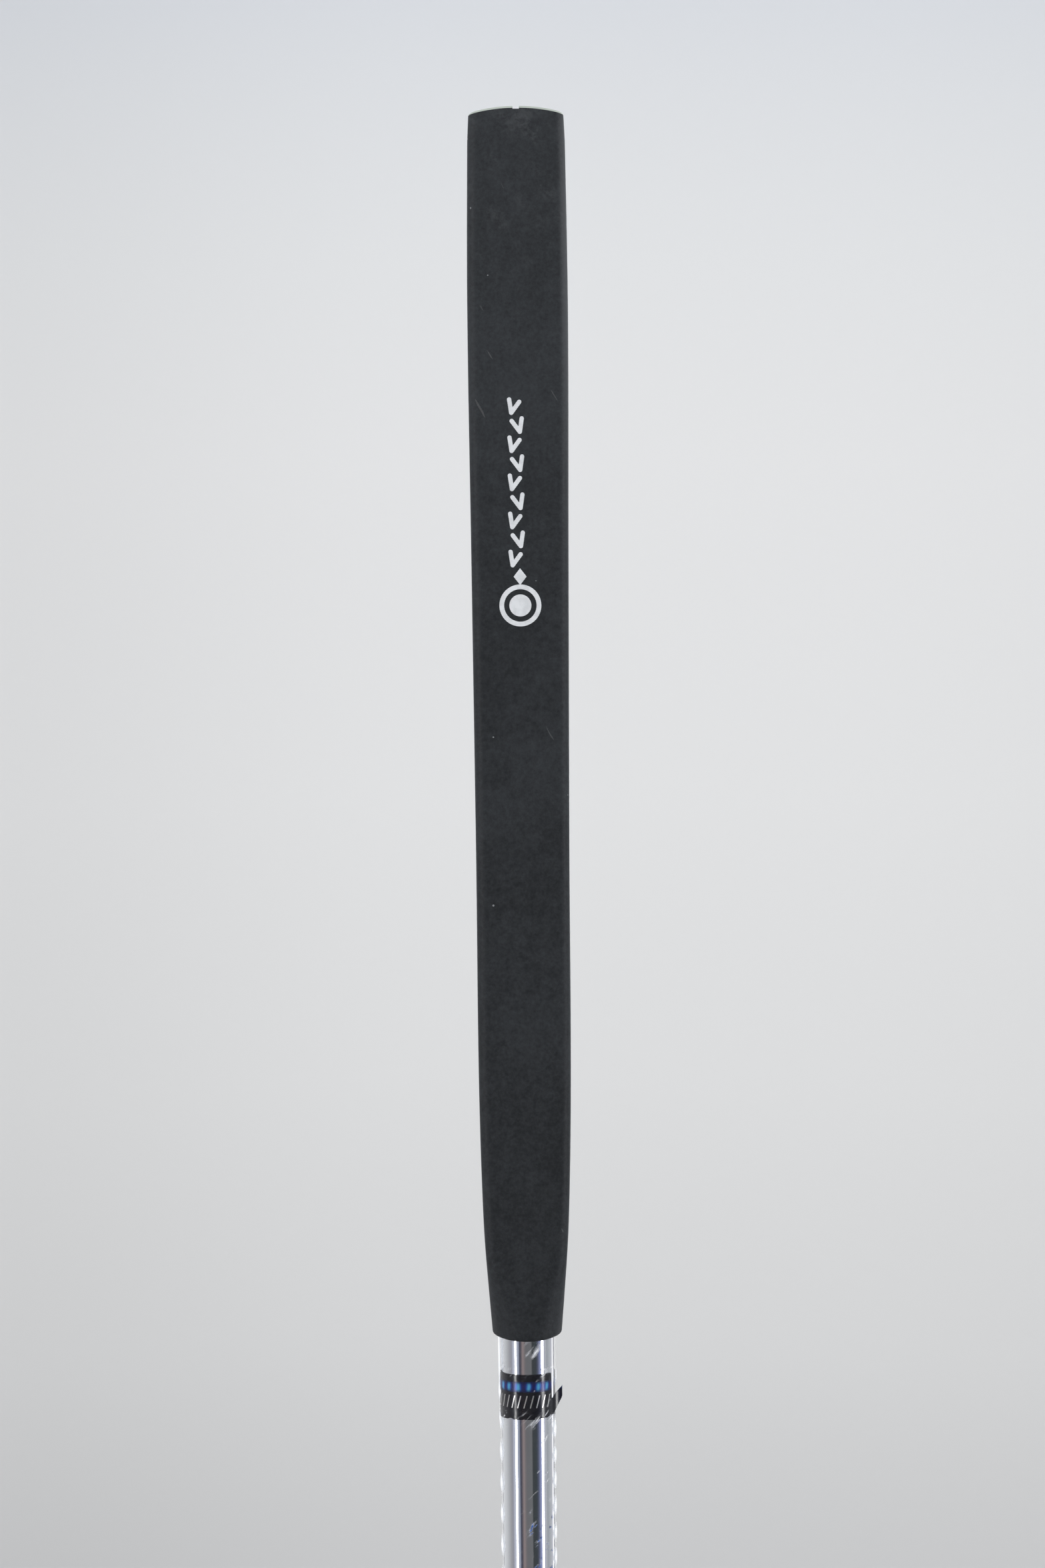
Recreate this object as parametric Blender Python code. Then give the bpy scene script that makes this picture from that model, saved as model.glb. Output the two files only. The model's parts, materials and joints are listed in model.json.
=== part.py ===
"""Right-handed blade putter, made as the separate pieces it comes apart into.

The club stands at address. The origin is the middle of the flat sole, +X is the way the
face looks, +Z is up, -Y is the toe and +Y the heel. The shaft leans towards +Y, and the
flat front of the grip looks up and towards -Y, where the player's thumbs lie.

Three local frames carry the pieces. The head frame is the world. The club frame has its Z
on the shaft's axis and starts on the ground. The face frame has its X out of the lofted
face and starts on the leading edge.
"""

import math

import bmesh
import bpy
from mathutils import Vector

MM = 0.001

# Fit between pieces that touch or seat on each other.
GAP = 0.3 * MM

# Club
CLUB_LENGTH = 863.6 * MM
LIE = math.radians(70)
LOFT = math.radians(3)

# Head: a blade wall, a low flange behind it and a taller mass at heel and toe.
HEAD_LENGTH = 114 * MM
HEAD_HEIGHT = 25 * MM
HEAD_FRONT = 13 * MM
HEAD_REAR = -15 * MM
WALL = 8 * MM
FLANGE_HEIGHT = 6 * MM
MASS_HEIGHT = 12.5 * MM
MASS_LENGTH = 24 * MM
CAVITY_RAMP = 3 * MM
TOP_CORNER = 8 * MM
PLAN_CORNER = 10 * MM
SOLE_RISE = 1.6 * MM
END_EDGE = 1.6 * MM
LEADING_EDGE = 2 * MM
TOP_EDGE = 1.2 * MM
WALL_FILLET = 2.2 * MM
FLANGE_EDGE = 1.4 * MM
HEEL_EDGE = 2.6 * MM

# Face insert and the damping pad behind it
INSERT_TO_NECK = 1.8 * MM
INSERT_HEIGHT = 17 * MM
INSERT_BOTTOM = 3.6 * MM
INSERT_CORNER = 4 * MM
INSERT_THICK = 3 * MM
PAD_THICK = 0.6 * MM
INSERT_EDGE = 0.2 * MM
INSERT_SCREW_INSET = 9 * MM
INSERT_SCREW_Z = 13 * MM
INSERT_SCREW_BITE = 1.5 * MM

# Small screws, all with the same thread
SCREW_RADIUS = 1.5 * MM
SCREW_HEAD_RADIUS = 2.75 * MM
SCREW_HEAD_HEIGHT = 2.2 * MM
SCREW_SOCKET_RADIUS = 1.45 * MM
SCREW_SOCKET_DEPTH = 1.2 * MM

# Sole weights
WEIGHT_TO_REAR = 10 * MM
WEIGHT_TO_END = 14 * MM
WEIGHT_RADIUS = 6.5 * MM
WEIGHT_EASE = 0.4 * MM
WEIGHT_FLANGE = 2.5 * MM
WEIGHT_RECESS = 0.4 * MM
THREAD_RADIUS = 4.5 * MM
THREAD_LENGTH = 5 * MM
WEIGHT_SOCKET_RADIUS = 2.9 * MM
WEIGHT_SOCKET_DEPTH = 3 * MM
RING_SECTION = 0.6 * MM

# Sight line let into the flange
SIGHT_WIDTH = 1.2 * MM
SIGHT_DEPTH = 0.8 * MM
SIGHT_TO_REAR = 2 * MM
SIGHT_TO_WALL = 3.4 * MM

# Neck
SHAFT_OFFSET = 4.5 * MM
FOOT_TO_HEEL = 18.5 * MM
FOOT_LENGTH = 15.4 * MM
FOOT_DEPTH = 3.5 * MM
FOOT_RISE = 2.4 * MM
FOOT_CORNER = 1.6 * MM
FOOT_EDGE = 0.8 * MM
NECK_SCREW_PITCH = 7 * MM
NECK_SCREW_REACH = 5.5 * MM
POST_SHOULDER = 1.5 * MM
POST_CORNER = 2.4 * MM
POST_RISE = 8 * MM
LEG_HEIGHT = 9 * MM
LEG_BLEND = 2.4 * MM
HOSEL_WALL = 1.4 * MM
HOSEL_LENGTH = 34 * MM
HOSEL_BORE_DEPTH = 28 * MM
FERRULE_LENGTH = 13 * MM
FERRULE_LIP = 1.1 * MM

# Shaft: a stepless tapered tube with a parallel tip
SHAFT_BUTT_RADIUS = 7.1 * MM
SHAFT_TIP_RADIUS = 4.7 * MM
SHAFT_TIP_PARALLEL = 45 * MM
SHAFT_WALL = 0.5 * MM

# Shaft band and clear wrap
BAND_BELOW_MOUTH = 8.6 * MM
BAND_HEIGHT = 10.4 * MM
BAND_THICK = 0.2 * MM
BAND_ROOT = math.radians(-32)
BAND_WRAP = math.radians(318)
BAND_FREE_END = 4 * MM
BAND_CURL = 1 * MM
FILM_THICK = 0.15 * MM
FILM_ABOVE_FERRULE = 60 * MM

# Grip
GRIP_LENGTH = 286 * MM
GRIP_LIP = 6 * MM
GRIP_CORNER = 2.4 * MM
GRIP_MOUTH_CORNER = 6.2 * MM
GRIP_FRONT_WALL = 1.6 * MM
GRIP_MOUTH_WALL = 1.5 * MM
GRIP_ROUNDING = 20 * MM
GRIP_CROWN_RADIUS = 41 * MM
GRIP_CROWN_FRONT = 0.2
GRIP_EDGE = 0.7 * MM
GRIP_FULLNESS = 2.25
CAP_LEDGE = 0.3 * MM
CAP_DEPTH = 7 * MM
CAP_PROUD = 0.5 * MM
CAP_VENT_RADIUS = 1.1 * MM
NOTCH_WIDTH = 1.3 * MM
NOTCH_DEPTH = 0.8 * MM
NOTCH_REACH = 3.2 * MM
TAPE_THICK = 0.25 * MM
TAPE_SEAM = math.radians(14)
TAPE_BELOW_BUTT = 4 * MM

# How much wider and deeper than its mouth the grip is, by height above the mouth, in mm
GRIP_WIDENS = ((0, 0), (10, 0.75), (28, 1.9), (60, 2.65), (110, 2.8), (180, 3.25), (240, 3.65), (286, 3.2))
GRIP_DEEPENS = ((0, 0), (28, 1.9), (80, 3.2), (150, 3.8), (215, 5.6), (262, 9), (286, 7.6))

# Places and sizes that follow from the ones above
SHAFT_X = HEAD_FRONT + SHAFT_OFFSET
FOOT_MIDDLE_Y = HEAD_LENGTH / 2 - FOOT_TO_HEEL
SHAFT_GROUND_Y = FOOT_MIDDLE_Y - HEAD_HEIGHT / math.tan(LIE)
CAVITY_HALF = HEAD_LENGTH / 2 - MASS_LENGTH - CAVITY_RAMP
INSERT_HALF = FOOT_MIDDLE_Y - FOOT_LENGTH / 2 - INSERT_TO_NECK
INSERT_SCREW_Y = INSERT_HALF - INSERT_SCREW_INSET
POCKET_DEPTH = INSERT_THICK + PAD_THICK + 2 * GAP
WEIGHT_X = HEAD_REAR + WEIGHT_TO_REAR
WEIGHT_Y = HEAD_LENGTH / 2 - WEIGHT_TO_END
WEIGHT_SEAT = WEIGHT_RECESS + WEIGHT_FLANGE + 2 * RING_SECTION + 2 * GAP
NOTCH_FLOOR = HEAD_HEIGHT - FOOT_DEPTH
POST_HALF_WIDTH = FOOT_LENGTH / 2 - POST_SHOULDER
POST_THICK = WALL - 2 * GAP
LEG_BOTTOM = (HEAD_HEIGHT + FOOT_RISE) / math.sin(LIE) + POST_RISE
HOSEL_RADIUS = SHAFT_TIP_RADIUS + GAP + HOSEL_WALL
HOSEL_TOP = LEG_BOTTOM + LEG_HEIGHT + HOSEL_LENGTH
SHAFT_TIP = HOSEL_TOP - HOSEL_BORE_DEPTH + GAP
FERRULE_TOP = HOSEL_TOP + GAP + FERRULE_LENGTH
MOUTH = CLUB_LENGTH - GRIP_LENGTH
GRIP_RIM = CLUB_LENGTH - CAP_PROUD
BUTT = GRIP_RIM - CAP_DEPTH
TAPE_ROOM = 2 * GAP + TAPE_THICK
CAP_RIM = GRIP_FRONT_WALL - CAP_LEDGE
ROUND_SIDES = 40
SMALL_SIDES = 24


def smoothstep(t):
    """Eases a value from 0 to 1."""
    t = min(max(t, 0.0), 1.0)
    return t * t * (3 - 2 * t)


def mix(a, b, t):
    """Goes from a to b as t goes from 0 to 1."""
    return a + (b - a) * t


def curve_through(stations, at):
    """Reads a smooth curve through (height, value) stations given in millimetres."""
    heights = [h * MM for h, _ in stations]
    values = [v * MM for _, v in stations]
    last = len(heights) - 1
    slopes = []
    for i in range(last + 1):
        low, high = max(i - 1, 0), min(i + 1, last)
        slopes.append((values[high] - values[low]) / (heights[high] - heights[low]))
    at = min(max(at, heights[0]), heights[last])
    i = max(k for k in range(last) if heights[k] <= at)
    span = heights[i + 1] - heights[i]
    t = (at - heights[i]) / span
    rise = values[i + 1] - values[i]
    start, end = slopes[i] * span, slopes[i + 1] * span
    bend, twist = 3 * rise - 2 * start - end, start + end - 2 * rise
    return values[i] + start * t + bend * t**2 + twist * t**3


def shaft_radius(z):
    """Outer radius of the shaft at a height on its axis."""
    low = SHAFT_TIP + SHAFT_TIP_PARALLEL
    return mix(SHAFT_TIP_RADIUS, SHAFT_BUTT_RADIUS, min(max((z - low) / (BUTT - low), 0.0), 1.0))


# ---------------------------------------------------------------- making meshes


def clear_scene():
    """Empties the scene."""
    for obj in list(bpy.data.objects):
        bpy.data.objects.remove(obj)


def paint(name, colour, roughness, metallic=0.0, alpha=1.0):
    """A plain Principled material."""
    mat = bpy.data.materials.new(name)
    mat.use_nodes = True
    shader = mat.node_tree.nodes["Principled BSDF"]
    shader.inputs["Base Color"].default_value = (*colour, 1)
    shader.inputs["Roughness"].default_value = roughness
    shader.inputs["Metallic"].default_value = metallic
    shader.inputs["Alpha"].default_value = alpha
    return mat


def frame_at(name, location, rotation):
    """An empty that a group of pieces is parented to."""
    empty = bpy.data.objects.new(name, None)
    empty.location = location
    empty.rotation_euler = rotation
    bpy.context.scene.collection.objects.link(empty)
    return empty


def add_piece(name, rings, mat=None, parent=None, hollow=False, smooth=30):
    """Joins rings of points into one closed skin.

    A hollow skin runs from the last ring back to the first, as a tube's does. Any other
    is closed with a face on its first and last ring.
    """
    bm = bmesh.new()
    rows = [[bm.verts.new(p) for p in ring] for ring in rings]
    pairs = list(zip(rows, rows[1:] + rows[:1])) if hollow else list(zip(rows, rows[1:]))
    count = len(rows[0])
    for low, high in pairs:
        for i in range(count):
            j = (i + 1) % count
            bm.faces.new((low[i], low[j], high[j], high[i]))
    if not hollow:
        bm.faces.new(rows[0])
        bm.faces.new(rows[-1])
    bmesh.ops.recalc_face_normals(bm, faces=bm.faces[:])
    mesh = bpy.data.meshes.new(name)
    bm.to_mesh(mesh)
    bm.free()
    mesh.shade_smooth()
    mesh.set_sharp_from_angle(angle=math.radians(smooth))
    if mat:
        mesh.materials.append(mat)
    obj = bpy.data.objects.new(name, mesh)
    obj.parent = parent
    bpy.context.scene.collection.objects.link(obj)
    return obj


def circle(radius, z, sides=ROUND_SIDES, centre=(0, 0)):
    """A ring of points round a vertical axis."""
    turn = 2 * math.pi / sides
    around = [(math.cos(i * turn), math.sin(i * turn)) for i in range(sides)]
    return [Vector((centre[0] + radius * c, centre[1] + radius * s, z)) for c, s in around]


def turned(name, profile, mat=None, parent=None, hollow=False, centre=(0, 0), sides=ROUND_SIDES):
    """A turned piece from (radius, height) pairs."""
    rings = [circle(r, z, sides, centre) for r, z in profile]
    return add_piece(name, rings, mat, parent, hollow)


def arc(cx, cy, radius, start, end, steps=4):
    """Points along an arc in a plane, ends included. Angles are in degrees."""
    angles = [math.radians(mix(start, end, i / steps)) for i in range(steps + 1)]
    return [(cx + radius * math.cos(a), cy + radius * math.sin(a)) for a in angles]


def rounded_box(name, low, high, radius, mat=None, parent=None, axis="Z", edge=0.0):
    """A box whose four edges along one axis are round, and whose end edges are eased."""
    axes = {"Z": (0, 1, 2), "X": (1, 2, 0)}[axis]
    (a0, b0, c0), (a1, b1, c1) = ([corner[k] for k in axes] for corner in (low, high))

    def ring(inset, c):
        r = max(radius - inset, 0.05 * MM)
        a_low, a_high, b_low, b_high = a0 + inset, a1 - inset, b0 + inset, b1 - inset
        flat = arc(a_high - r, b_low + r, r, -90, 0)
        flat += arc(a_high - r, b_high - r, r, 0, 90)
        flat += arc(a_low + r, b_high - r, r, 90, 180)
        flat += arc(a_low + r, b_low + r, r, 180, 270)
        points = []
        for a, b in flat:
            point = Vector()
            point[axes[0]], point[axes[1]], point[axes[2]] = a, b, c
            points.append(point)
        return points

    rings = [ring(0, c0), ring(0, c1)]
    if edge:
        rings = [ring(edge, c0), ring(0, c0 + edge), ring(0, c1 - edge), ring(edge, c1)]
    return add_piece(name, rings, mat, parent)


def cut(obj, cutter):
    """Takes one shape out of a piece and leaves the cutter as a hidden guide."""
    boolean(obj, cutter, "DIFFERENCE")


def weld(obj, other):
    """Makes one solid of two shapes."""
    boolean(obj, other, "UNION")


def boolean(obj, other, operation):
    other.hide_render = True
    other.display_type = "WIRE"
    step = obj.modifiers.new(other.name, "BOOLEAN")
    step.operation = operation
    step.solver = "EXACT"
    step.object = other


# ---------------------------------------------------------------- head


def face_x(z):
    """Where the lofted face is at a height above the sole."""
    return HEAD_FRONT - z * math.tan(LOFT)


def head_section(y, inset=0.0):
    """One slice of the head across its length, as a ring of points."""
    reach = abs(y)
    half = HEAD_LENGTH / 2 - END_EDGE

    def corner(radius):
        into = min(max((reach - (half - radius)) / radius, 0.0), 1.0)
        return radius * (1 - math.sqrt(1 - into * into))

    top = HEAD_HEIGHT - corner(TOP_CORNER)
    rear = HEAD_REAR + corner(PLAN_CORNER)
    low = SOLE_RISE * smoothstep((reach - (half - TOP_CORNER)) / TOP_CORNER)
    ramp = smoothstep((reach - CAVITY_HALF) / CAVITY_RAMP)
    floor = mix(FLANGE_HEIGHT, MASS_HEIGHT, ramp)
    wall_top, wall_foot = face_x(top) - WALL, face_x(floor) - WALL
    flat = arc(face_x(low) - LEADING_EDGE, low + LEADING_EDGE, LEADING_EDGE, -90, 0)
    flat += arc(face_x(top) - TOP_EDGE, top - TOP_EDGE, TOP_EDGE, 0, 90)
    flat += arc(wall_top + TOP_EDGE, top - TOP_EDGE, TOP_EDGE, 90, 180)
    flat += arc(wall_foot - WALL_FILLET, floor + WALL_FILLET, WALL_FILLET, 0, -90)
    flat += arc(rear + FLANGE_EDGE, floor - FLANGE_EDGE, FLANGE_EDGE, 90, 180)
    flat += arc(rear + HEEL_EDGE, low + HEEL_EDGE, HEEL_EDGE, 180, 270)
    mid_x, mid_z = (face_x(0) + rear) / 2, (top + low) / 2
    keep_x, keep_z = 1 - 2 * inset / (face_x(0) - rear), 1 - 2 * inset / (top - low)
    return [Vector((mid_x + (x - mid_x) * keep_x, y, mid_z + (z - mid_z) * keep_z)) for x, z in flat]


def head_stations():
    """Slice places from toe to heel with the end roundings, as (y, inset)."""
    half = HEAD_LENGTH / 2 - END_EDGE
    side = [(0.5 * CAVITY_HALF, 0.0)]
    side += [(CAVITY_HALF + CAVITY_RAMP * i / 5, 0.0) for i in range(6)]
    side += [(half - PLAN_CORNER * (1 - math.sin(math.radians(a))), 0.0) for a in range(0, 91, 10)]
    for a in (30, 60, 90):
        turn = math.radians(a)
        side.append((half + END_EDGE * math.sin(turn), END_EDGE * (1 - math.cos(turn))))
    return [(-y, inset) for y, inset in reversed(side)] + [(0.0, 0.0)] + side


def make_head(steel):
    """The head casting with every pocket and hole that its other pieces use."""
    head = add_piece("head_body", [head_section(y, inset) for y, inset in head_stations()], steel)
    face = bpy.data.objects["face_frame"]
    half = INSERT_HALF + GAP
    low = (-POCKET_DEPTH, -half, INSERT_BOTTOM - GAP)
    high = (MM, half, INSERT_BOTTOM + INSERT_HEIGHT + GAP)
    cut(head, rounded_box("cut_insert_pocket", low, high, INSERT_CORNER + GAP, parent=face, axis="X"))
    for side, name in ((-1, "toe"), (1, "heel")):
        hole = ((SCREW_RADIUS + GAP, -WALL - MM), (SCREW_RADIUS + GAP, 0))
        cut(head, along_x(f"cut_insert_{name}", hole, side * INSERT_SCREW_Y))
        profile = (
            (WEIGHT_RADIUS + GAP, -MM),
            (WEIGHT_RADIUS + GAP, WEIGHT_SEAT),
            (THREAD_RADIUS + GAP, WEIGHT_SEAT),
            (THREAD_RADIUS + GAP, WEIGHT_SEAT + THREAD_LENGTH + GAP),
        )
        cut(head, turned(f"cut_{name}_weight", profile, centre=(WEIGHT_X, side * WEIGHT_Y)))
    reach = FOOT_LENGTH / 2 + GAP
    low = (face_x(0) - WALL - WALL_FILLET, FOOT_MIDDLE_Y - reach, NOTCH_FLOOR)
    high = (face_x(0) + MM, FOOT_MIDDLE_Y + reach, HEAD_HEIGHT + MM)
    cut(head, rounded_box("cut_neck_notch", low, high, GAP))
    shoulder = SCREW_HEAD_HEIGHT + 3 * GAP
    for name, y in neck_screws():
        profile = (
            (SCREW_HEAD_RADIUS + GAP, -MM),
            (SCREW_HEAD_RADIUS + GAP, shoulder),
            (SCREW_RADIUS + GAP, shoulder),
            (SCREW_RADIUS + GAP, NOTCH_FLOOR + MM),
        )
        cut(head, turned(f"cut_{name}", profile, centre=(neck_screw_x(), y)))
    low, high = sight_line_box()
    cut(head, rounded_box("cut_sight_line", low, high, SIGHT_WIDTH / 2))


def along_x(name, profile, y, mat=None, sides=SMALL_SIDES):
    """A turned piece from (radius, depth) pairs on one of the insert's screw axes."""
    face = bpy.data.objects["face_frame"]
    rings = []
    for radius, x in profile:
        rings.append([Vector((x, y + p.x, INSERT_SCREW_Z + p.y)) for p in circle(radius, 0, sides)])
    return add_piece(name, rings, mat, face)


def neck_screws():
    """Names and places of the two screws that hold the neck's foot."""
    return [
        ("neck_screw_inner", FOOT_MIDDLE_Y - NECK_SCREW_PITCH / 2),
        ("neck_screw_outer", FOOT_MIDDLE_Y + NECK_SCREW_PITCH / 2),
    ]


def neck_screw_x():
    """The neck screws stand in the middle of the blade wall at half its height."""
    return face_x(HEAD_HEIGHT / 2) - WALL / 2


def sight_line_box():
    """The groove for the sight line, from the wall to the trailing edge."""
    front = face_x(FLANGE_HEIGHT) - WALL - SIGHT_TO_WALL
    half = SIGHT_WIDTH / 2 + GAP
    low = (HEAD_REAR + SIGHT_TO_REAR, -half, FLANGE_HEIGHT - SIGHT_DEPTH - GAP)
    return low, (front, half, FLANGE_HEIGHT + MM)


def make_sight_line(enamel):
    """The bar let into the flange as a sight line."""
    (x0, y0, z0), (x1, y1, _) = sight_line_box()
    low = (x0 + GAP, y0 + GAP, z0 + GAP)
    high = (x1 - GAP, y1 - GAP, FLANGE_HEIGHT)
    rounded_box("sight_line", low, high, SIGHT_WIDTH / 3, enamel)


def make_insert(alloy, foam, steel):
    """The face insert, the pad behind it and the two screws that draw it in."""
    face = bpy.data.objects["face_frame"]
    bottom, top = INSERT_BOTTOM, INSERT_BOTTOM + INSERT_HEIGHT
    low, high = (-INSERT_THICK, -INSERT_HALF, bottom), (0, INSERT_HALF, top)
    insert = rounded_box("face_insert", low, high, INSERT_CORNER, alloy, face, "X", INSERT_EDGE)
    back = -INSERT_THICK - GAP
    low, high = (back - PAD_THICK, -INSERT_HALF, bottom), (back, INSERT_HALF, top)
    pad = rounded_box("insert_pad", low, high, INSERT_CORNER, foam, face, "X")
    tip = INSERT_SCREW_BITE - INSERT_THICK
    seat = -WALL - GAP
    outer = seat - SCREW_HEAD_HEIGHT
    tapped = ((SCREW_RADIUS + GAP, -WALL), (SCREW_RADIUS + GAP, tip + GAP))
    socket = ((SCREW_SOCKET_RADIUS, outer - MM), (SCREW_SOCKET_RADIUS, outer + SCREW_SOCKET_DEPTH))
    profile = (
        (SCREW_HEAD_RADIUS, outer),
        (SCREW_HEAD_RADIUS, seat),
        (SCREW_RADIUS, seat),
        (SCREW_RADIUS, tip),
    )
    for side, name in ((-1, "toe"), (1, "heel")):
        y = side * INSERT_SCREW_Y
        hole = along_x(f"cut_tapped_{name}", tapped, y)
        cut(insert, hole)
        cut(pad, hole)
        screw = along_x(f"insert_screw_{name}", profile, y, steel)
        cut(screw, along_x(f"cut_socket_{name}", socket, y, sides=6))


def make_weights(steel, rubber):
    """The two screw-in sole weights, each with the rubber ring under its flange."""
    under = WEIGHT_RECESS + WEIGHT_FLANGE
    shank_top = WEIGHT_SEAT + THREAD_LENGTH
    ring_middle = under + GAP + RING_SECTION
    ring_radius = THREAD_RADIUS + GAP + RING_SECTION
    profile = (
        (WEIGHT_RADIUS - WEIGHT_EASE, WEIGHT_RECESS),
        (WEIGHT_RADIUS, WEIGHT_RECESS + WEIGHT_EASE),
        (WEIGHT_RADIUS, under),
        (THREAD_RADIUS, under),
        (THREAD_RADIUS, shank_top - WEIGHT_EASE),
        (THREAD_RADIUS - WEIGHT_EASE, shank_top),
    )
    round_profile = arc(ring_radius, ring_middle, RING_SECTION, 0, 315, 7)
    for side, name in ((-1, "toe"), (1, "heel")):
        centre = (WEIGHT_X, side * WEIGHT_Y)
        weight = turned(f"{name}_weight", profile, steel, centre=centre)
        cut(weight, hex_socket(name, WEIGHT_SOCKET_RADIUS, WEIGHT_RECESS, WEIGHT_SOCKET_DEPTH, centre))
        turned(f"{name}_weight_ring", round_profile, rubber, hollow=True, centre=centre)


def hex_socket(name, radius, mouth, depth, centre):
    """The cutter for a key socket that opens downwards."""
    rings = [circle(radius, z, 6, centre) for z in (mouth - MM, mouth + depth)]
    return add_piece(f"cut_{name}_key", rings)


# ---------------------------------------------------------------- neck and shaft


def neck_slice(z):
    """One level slice of the neck: a post, a leg reaching forward, then a round hosel."""
    forward = smoothstep((z - LEG_BOTTOM) / LEG_BLEND)
    behind = smoothstep((z - LEG_BOTTOM - LEG_HEIGHT) / LEG_BLEND)
    post_middle = neck_screw_x() - SHAFT_X
    rear = mix(post_middle - POST_THICK / 2, -HOSEL_RADIUS, behind)
    front = mix(post_middle + POST_THICK / 2, HOSEL_RADIUS, forward)
    half = mix(POST_HALF_WIDTH, HOSEL_RADIUS, forward)
    round_corner = HOSEL_RADIUS - 0.1 * MM
    ahead = mix(POST_CORNER, round_corner, forward)
    back = mix(POST_CORNER, round_corner, behind)
    flat = arc(front - ahead, ahead - half, ahead, -90, 0, 9)
    flat += arc(front - ahead, half - ahead, ahead, 0, 90, 9)
    flat += arc(rear + back, half - back, back, 90, 180, 9)
    flat += arc(rear + back, back - half, back, 180, 270, 9)
    return [Vector((x, y, z)) for x, y in flat]


def make_neck(steel):
    """The bolt-on neck: a foot in the head's notch, the post, the leg and the hosel."""
    club = bpy.data.objects["club_frame"]
    bottom = NOTCH_FLOOR + GAP
    heights = [(bottom + POST_HALF_WIDTH * math.cos(LIE) + GAP) / math.sin(LIE)]
    heights += [LEG_BOTTOM + LEG_BLEND * i / 6 for i in range(7)]
    heights += [LEG_BOTTOM + LEG_HEIGHT + LEG_BLEND * i / 6 for i in range(7)]
    heights += [HOSEL_TOP]
    neck = add_piece("neck", [neck_slice(z) for z in heights], steel, club)
    front = face_x(HEAD_HEIGHT) - GAP
    low = (front - POST_THICK, FOOT_MIDDLE_Y - FOOT_LENGTH / 2, bottom)
    high = (front, FOOT_MIDDLE_Y + FOOT_LENGTH / 2, HEAD_HEIGHT + FOOT_RISE)
    weld(neck, rounded_box("neck_foot", low, high, FOOT_CORNER, edge=FOOT_EDGE))
    bore = SHAFT_TIP_RADIUS + GAP
    profile = ((bore, SHAFT_TIP - GAP), (bore, HOSEL_TOP + MM))
    cut(neck, turned("cut_hosel_bore", profile, parent=club))
    hole = ((SCREW_RADIUS + GAP, bottom - MM), (SCREW_RADIUS + GAP, bottom + NECK_SCREW_REACH + GAP))
    for name, y in neck_screws():
        cut(neck, turned(f"cut_tapped_{name}", hole, centre=(neck_screw_x(), y), sides=SMALL_SIDES))


def make_neck_screws(steel):
    """Two long screws that come up through the blade into the neck's foot."""
    low = 2 * GAP
    profile = (
        (SCREW_HEAD_RADIUS, low),
        (SCREW_HEAD_RADIUS, low + SCREW_HEAD_HEIGHT),
        (SCREW_RADIUS, low + SCREW_HEAD_HEIGHT),
        (SCREW_RADIUS, NOTCH_FLOOR + GAP + NECK_SCREW_REACH),
    )
    for name, y in neck_screws():
        centre = (neck_screw_x(), y)
        screw = turned(name, profile, steel, centre=centre, sides=SMALL_SIDES)
        cut(screw, hex_socket(name, SCREW_SOCKET_RADIUS, low, SCREW_SOCKET_DEPTH, centre))


def make_ferrule(plastic):
    """The tapered collar between the hosel and the shaft."""
    club = bpy.data.objects["club_frame"]
    bore = SHAFT_TIP_RADIUS + GAP
    low = HOSEL_TOP + GAP
    profile = (
        (bore, low),
        (HOSEL_RADIUS, low),
        (HOSEL_RADIUS, low + FERRULE_LENGTH * 0.25),
        (mix(HOSEL_RADIUS, bore + FERRULE_LIP, 0.62), low + FERRULE_LENGTH * 0.6),
        (bore + FERRULE_LIP, FERRULE_TOP - 0.4 * MM),
        (bore + FERRULE_LIP - 0.4 * MM, FERRULE_TOP),
        (bore, FERRULE_TOP),
    )
    turned("ferrule", profile, plastic, club, hollow=True)


def make_shaft(chrome):
    """The stepless tapered tube from the hosel's floor to the grip's cap."""
    club = bpy.data.objects["club_frame"]
    parallel_top = SHAFT_TIP + SHAFT_TIP_PARALLEL
    outer = [(SHAFT_TIP_RADIUS, SHAFT_TIP), (SHAFT_TIP_RADIUS, parallel_top), (SHAFT_BUTT_RADIUS, BUTT)]
    inner = [(r - SHAFT_WALL, z) for r, z in reversed(outer)]
    turned("shaft", outer + inner, chrome, club, hollow=True)


def make_band(vinyl):
    """The printed band round the shaft. Its free end has peeled off at the target side."""
    club = bpy.data.objects["club_frame"]
    top = MOUTH - BAND_BELOW_MOUTH
    bottom = top - BAND_HEIGHT
    radius = shaft_radius(top) + GAP
    outward = Vector((math.cos(BAND_ROOT), math.sin(BAND_ROOT), 0))
    onward = Vector((-outward.y, outward.x, 0))
    rings = []
    for share in (1, 0.75, 0.5, 0.25):
        turn = Vector(outward).lerp(onward, -0.3 * share).normalized()
        place = outward * (radius + BAND_CURL * share**2) + onward * BAND_FREE_END * share
        loss = BAND_HEIGHT * share**2
        rings.append(band_slice(place, turn, bottom + 0.4 * loss, top - 0.1 * loss))
    for i in range(45):
        a = BAND_ROOT - BAND_WRAP * i / 44
        turn = Vector((math.cos(a), math.sin(a), 0))
        rings.append(band_slice(turn * radius, turn, bottom, top))
    add_piece("shaft_band", rings, vinyl, club)


def band_slice(place, outward, bottom, top):
    """One upright slice of the band: four corners across its thickness and height."""
    far = place + outward * BAND_THICK
    up, down = Vector((0, 0, top)), Vector((0, 0, bottom))
    return [place + down, far + down, far + up, place + up]


def make_film(clear):
    """The clear wrap that covers the shaft below the band."""
    club = bpy.data.objects["club_frame"]
    top = MOUTH - BAND_BELOW_MOUTH - BAND_HEIGHT - GAP
    bottom = FERRULE_TOP + FILM_ABOVE_FERRULE
    inner = [(shaft_radius(z) + GAP, z) for z in (bottom, top)]
    outer = [(r + FILM_THICK, z) for r, z in reversed(inner)]
    turned("shaft_wrap", inner + outer, clear, club, hollow=True)


# ---------------------------------------------------------------- grip


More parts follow.
